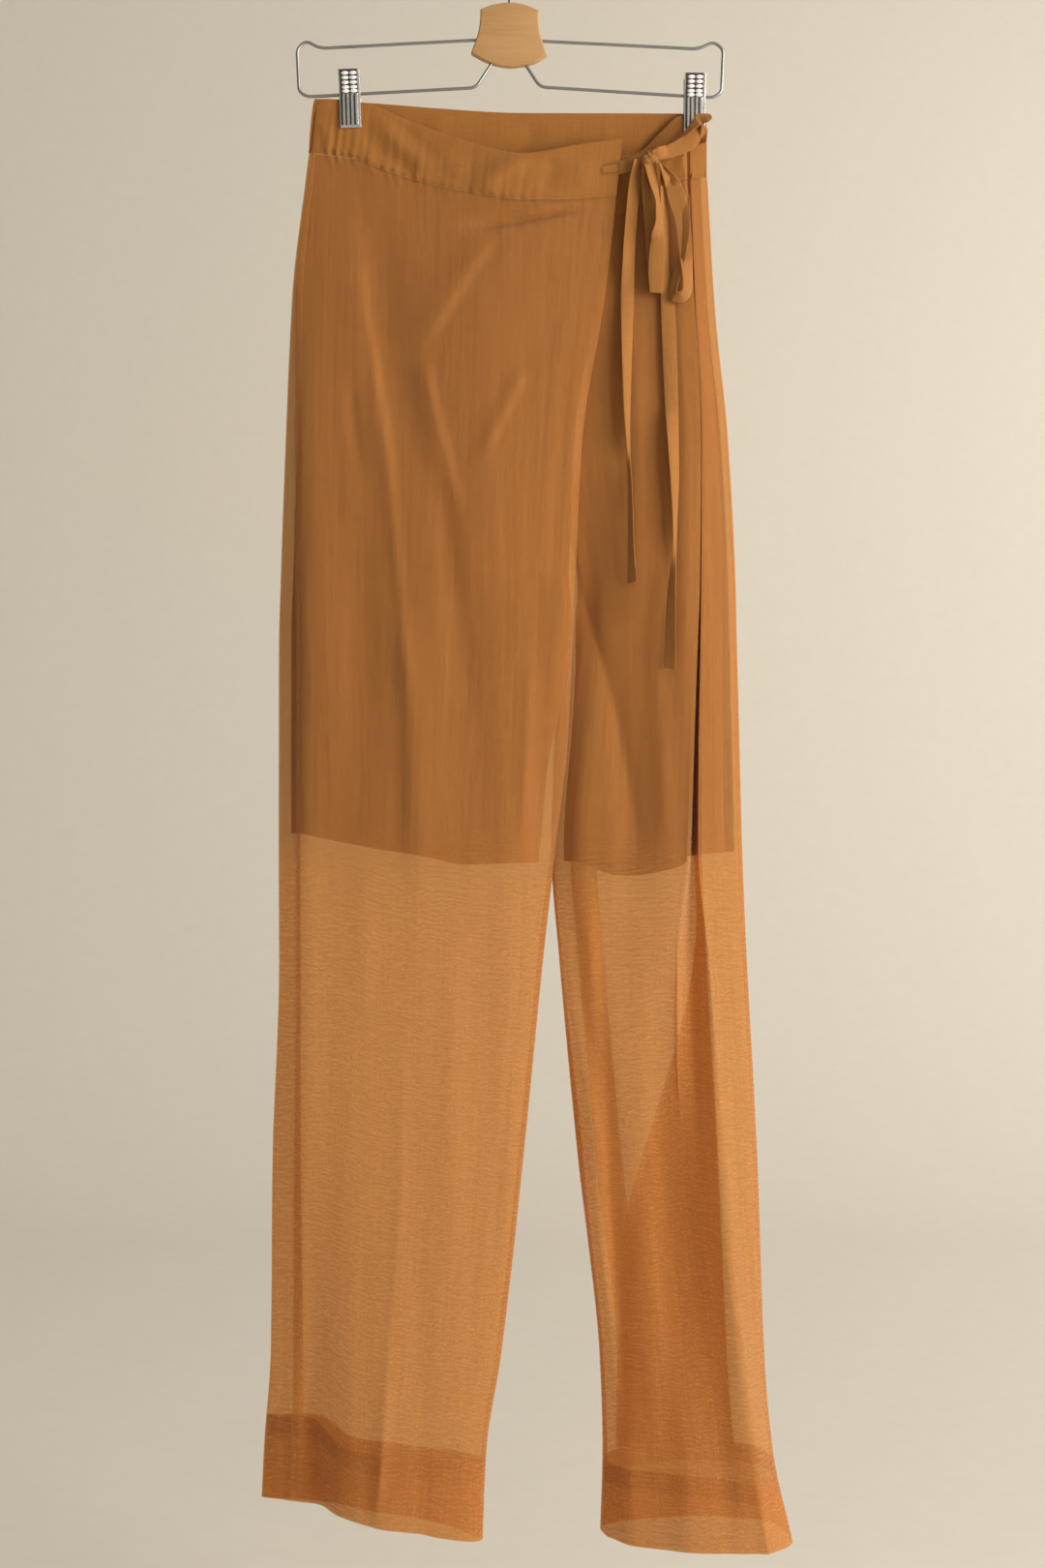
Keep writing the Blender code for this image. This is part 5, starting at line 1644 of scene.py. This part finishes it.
def add_block(finish):
    """The wooden block: its outline given thickness, rounded, and tapered below a ridge."""
    outline = np.concatenate([curve_through(side, 17)[:-1] for side in BLOCK_SIDES])
    curve = bpy.data.curves.new("block", "CURVE")
    curve.dimensions = "2D"
    curve.fill_mode = "BOTH"
    curve.extrude = (BLOCK_HALF - BLOCK_ROUND) * MM
    curve.bevel_depth = BLOCK_ROUND * MM
    curve.bevel_resolution = 3
    curve.offset = -BLOCK_ROUND * MM
    line = curve.splines.new("POLY")
    line.points.add(len(outline) - 1)
    for point, (x, z) in zip(line.points, outline):
        point.co = (x * MM, z * MM, 0.0, 1.0)
    line.use_cyclic_u = True
    add_object("block", curve).rotation_euler.x = math.pi / 2
    bpy.ops.object.convert(target="MESH")
    block = bpy.context.object
    bpy.ops.object.transform_apply(location=True, rotation=True, scale=True)
    bpy.ops.object.mode_set(mode="EDIT")
    bpy.ops.mesh.select_all(action="SELECT")
    bpy.ops.mesh.remove_doubles(threshold=0.01 * MM)
    (x1, z1), (x2, z2) = BLOCK_RIDGE
    bisect(block, (x1, 0, z1), (z2 - z1, 0, x1 - x2))
    turn_faces_out()
    for point in block.data.vertices:
        x, _, z = point.co / MM
        below = mix(z1, z2, (x - x1) / (x2 - x1)) - z
        if below > 0:
            point.co.y *= 1 - BLOCK_TAPER / BLOCK_HALF * min(below / BLOCK_TAPER_REACH, 1.0)
    finished(block, "block_beech", finish, 25)
    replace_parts(block, "hanger_block")


class PANTS_OT_hanger(bpy.types.Operator):
    """Makes the hanger's wires, hook, wooden block and two clips"""

    bl_idname = "pants.hanger"
    bl_label = "Hanger"

    def execute(self, context):
        hanger = context.scene.pants_hanger
        steel = metal_finish("drawn steel wire", hanger.wire_colour, 0.26, 900)
        plate = metal_finish("plated steel", hanger.clip_colour, 0.16, 1400)
        wires = (
            ("wire_left", rounded(LEFT_WIRE, BEND_RADIUS), WIRE_RADIUS, ()),
            ("wire_right", rounded(RIGHT_WIRE, BEND_RADIUS), WIRE_RADIUS, ()),
            ("hook", hook_points(), HOOK_RADIUS, (0.7, 0.95)),
        )
        for name, points, radius, tip in wires:
            wire = add_wire(f"{name}_steel", points, radius, steel, tip)
            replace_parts(wire, f"hanger_{name}")
        add_block(wood_finish("waxed beech", hanger.wood_light, hanger.wood_dark))
        # The second, dark steel is painted shade for the clips' grooves.
        add_clip_sheets(plate, metal_finish("steel with painted groove shade", hanger.groove_shade_colour, 0.34, 1400))
        add_springs(plate)
        return {"FINISHED"}


class PANTS_OT_stage(bpy.types.Operator):
    """Makes the camera, the lights, the floor and the wall"""

    bl_idname = "pants.stage"
    bl_label = "Stage"

    def execute(self, context):
        scene = context.scene
        scene.camera = add_camera()
        add_room(scene.pants_stage)
        add_area_light(*WINDOW, scene.pants_stage.key_power)
        add_area_light(*WALL_WASH, WALL_WASH_POWER)
        scene.world = room_light(scene.pants_stage.sky)
        scene.view_settings.view_transform = "Standard"
        scene.cycles.transparent_max_bounces = LAYERS_SEEN
        scene.cycles.max_bounces = LIGHT_BOUNCES
        return {"FINISHED"}


def add_camera():
    data = bpy.data.cameras.new("camera")
    data.lens = CAMERA_LENS
    data.sensor_width = 36.0
    camera = add_object("camera", data)
    camera.location = CAMERA_PLACE
    camera.rotation_euler.x = math.radians(90)
    return camera


def add_room(stage):
    """A floor that curves up into the wall behind."""
    profile = [(ROOM_FRONT, 0.0)]
    for angle in np.linspace(0, math.pi / 2, ROOM_CURVE_STEPS + 1):
        depth = stage.wall_distance - ROOM_CURVE * (1 - math.sin(angle))
        profile.append((depth, ROOM_CURVE * (1 - math.cos(angle))))
    profile.append((stage.wall_distance, ROOM_HEIGHT))
    sides = (-ROOM_HALF, ROOM_HALF)
    verts = [(x, y, stage.floor_height + z) for y, z in profile for x in sides]
    faces = [(2 * k, 2 * k + 1, 2 * k + 3, 2 * k + 2) for k in range(len(profile) - 1)]
    mesh = bpy.data.meshes.new("room")
    mesh.from_pydata(verts, [], faces)
    mesh.shade_smooth()
    mesh.materials.append(plaster_finish(stage.wall_colour))
    add_object("room", mesh)


def add_area_light(name, place, target, size, power):
    data = bpy.data.lights.new(name, "AREA")
    data.shape = "RECTANGLE"
    data.size, data.size_y = size
    data.energy = power
    data.color = KEY_COLOUR
    light = add_object(name, data)
    light.location = place
    way = Vector(target) - Vector(place)
    light.rotation_euler = way.to_track_quat("-Z", "Y").to_euler()


def room_light(strength):
    """A world whose even light grows from the left side to the right."""
    world = bpy.data.worlds.new("room light")
    world.use_nodes = True
    nodes, links = world.node_tree.nodes, world.node_tree.links
    way = nodes.new("ShaderNodeTexCoord")
    parts = nodes.new("ShaderNodeSeparateXYZ")
    side = nodes.new("ShaderNodeMapRange")
    side.interpolation_type = "SMOOTHSTEP"
    for socket, value in zip(("From Min", "From Max", "To Min", "To Max"), SKY_RISE):
        side.inputs[socket].default_value = value
    times = nodes.new("ShaderNodeMath")
    times.operation = "MULTIPLY"
    times.inputs[1].default_value = strength
    background = nodes["Background"]
    background.inputs["Color"].default_value = SKY_COLOUR
    links.new(way.outputs["Generated"], parts.inputs[0])
    links.new(parts.outputs["X"], side.inputs["Value"])
    links.new(side.outputs[0], times.inputs[0])
    links.new(times.outputs[0], background.inputs["Strength"])
    return world


# ---- The add-on ----

PIECES = (PANTS_OT_panels, PANTS_OT_bands, PANTS_OT_linings, PANTS_OT_ties, PANTS_OT_stitches,
          PANTS_OT_hanger, PANTS_OT_stage)


class PANTS_PT_sidebar(bpy.types.Panel):
    """Lists the pieces and their settings"""

    bl_idname = "PANTS_PT_sidebar"
    bl_label = "Wrap pants"
    bl_space_type = "VIEW_3D"
    bl_region_type = "UI"
    bl_category = "Pants"

    def draw(self, context):
        for group in ("pants_cloth", "pants_hanger", "pants_stage"):
            settings = getattr(context.scene, group)
            box = self.layout.box()
            for name in settings.bl_rna.properties.keys():
                if name not in ("rna_type", "name"):
                    box.prop(settings, name)
        for operator in PIECES:
            self.layout.operator(operator.bl_idname)


GROUPS = {
    "pants_cloth": ClothSettings,
    "pants_hanger": HangerSettings,
    "pants_stage": StageSettings,
}


def register():
    for cls in (*GROUPS.values(), *PIECES, PANTS_PT_sidebar):
        bpy.utils.register_class(cls)
    for name, group in GROUPS.items():
        setattr(bpy.types.Scene, name, bpy.props.PointerProperty(type=group))


def unregister():
    for name in GROUPS:
        delattr(bpy.types.Scene, name)
    for cls in reversed((*GROUPS.values(), *PIECES, PANTS_PT_sidebar)):
        bpy.utils.unregister_class(cls)


def main():
    register()
    bpy.ops.pants.stage()
    bpy.ops.pants.panels()
    bpy.ops.pants.bands()
    bpy.ops.pants.linings()
    bpy.ops.pants.ties()
    bpy.ops.pants.stitches()
    bpy.ops.pants.hanger()
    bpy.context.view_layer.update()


if __name__ == "__main__":
    main()
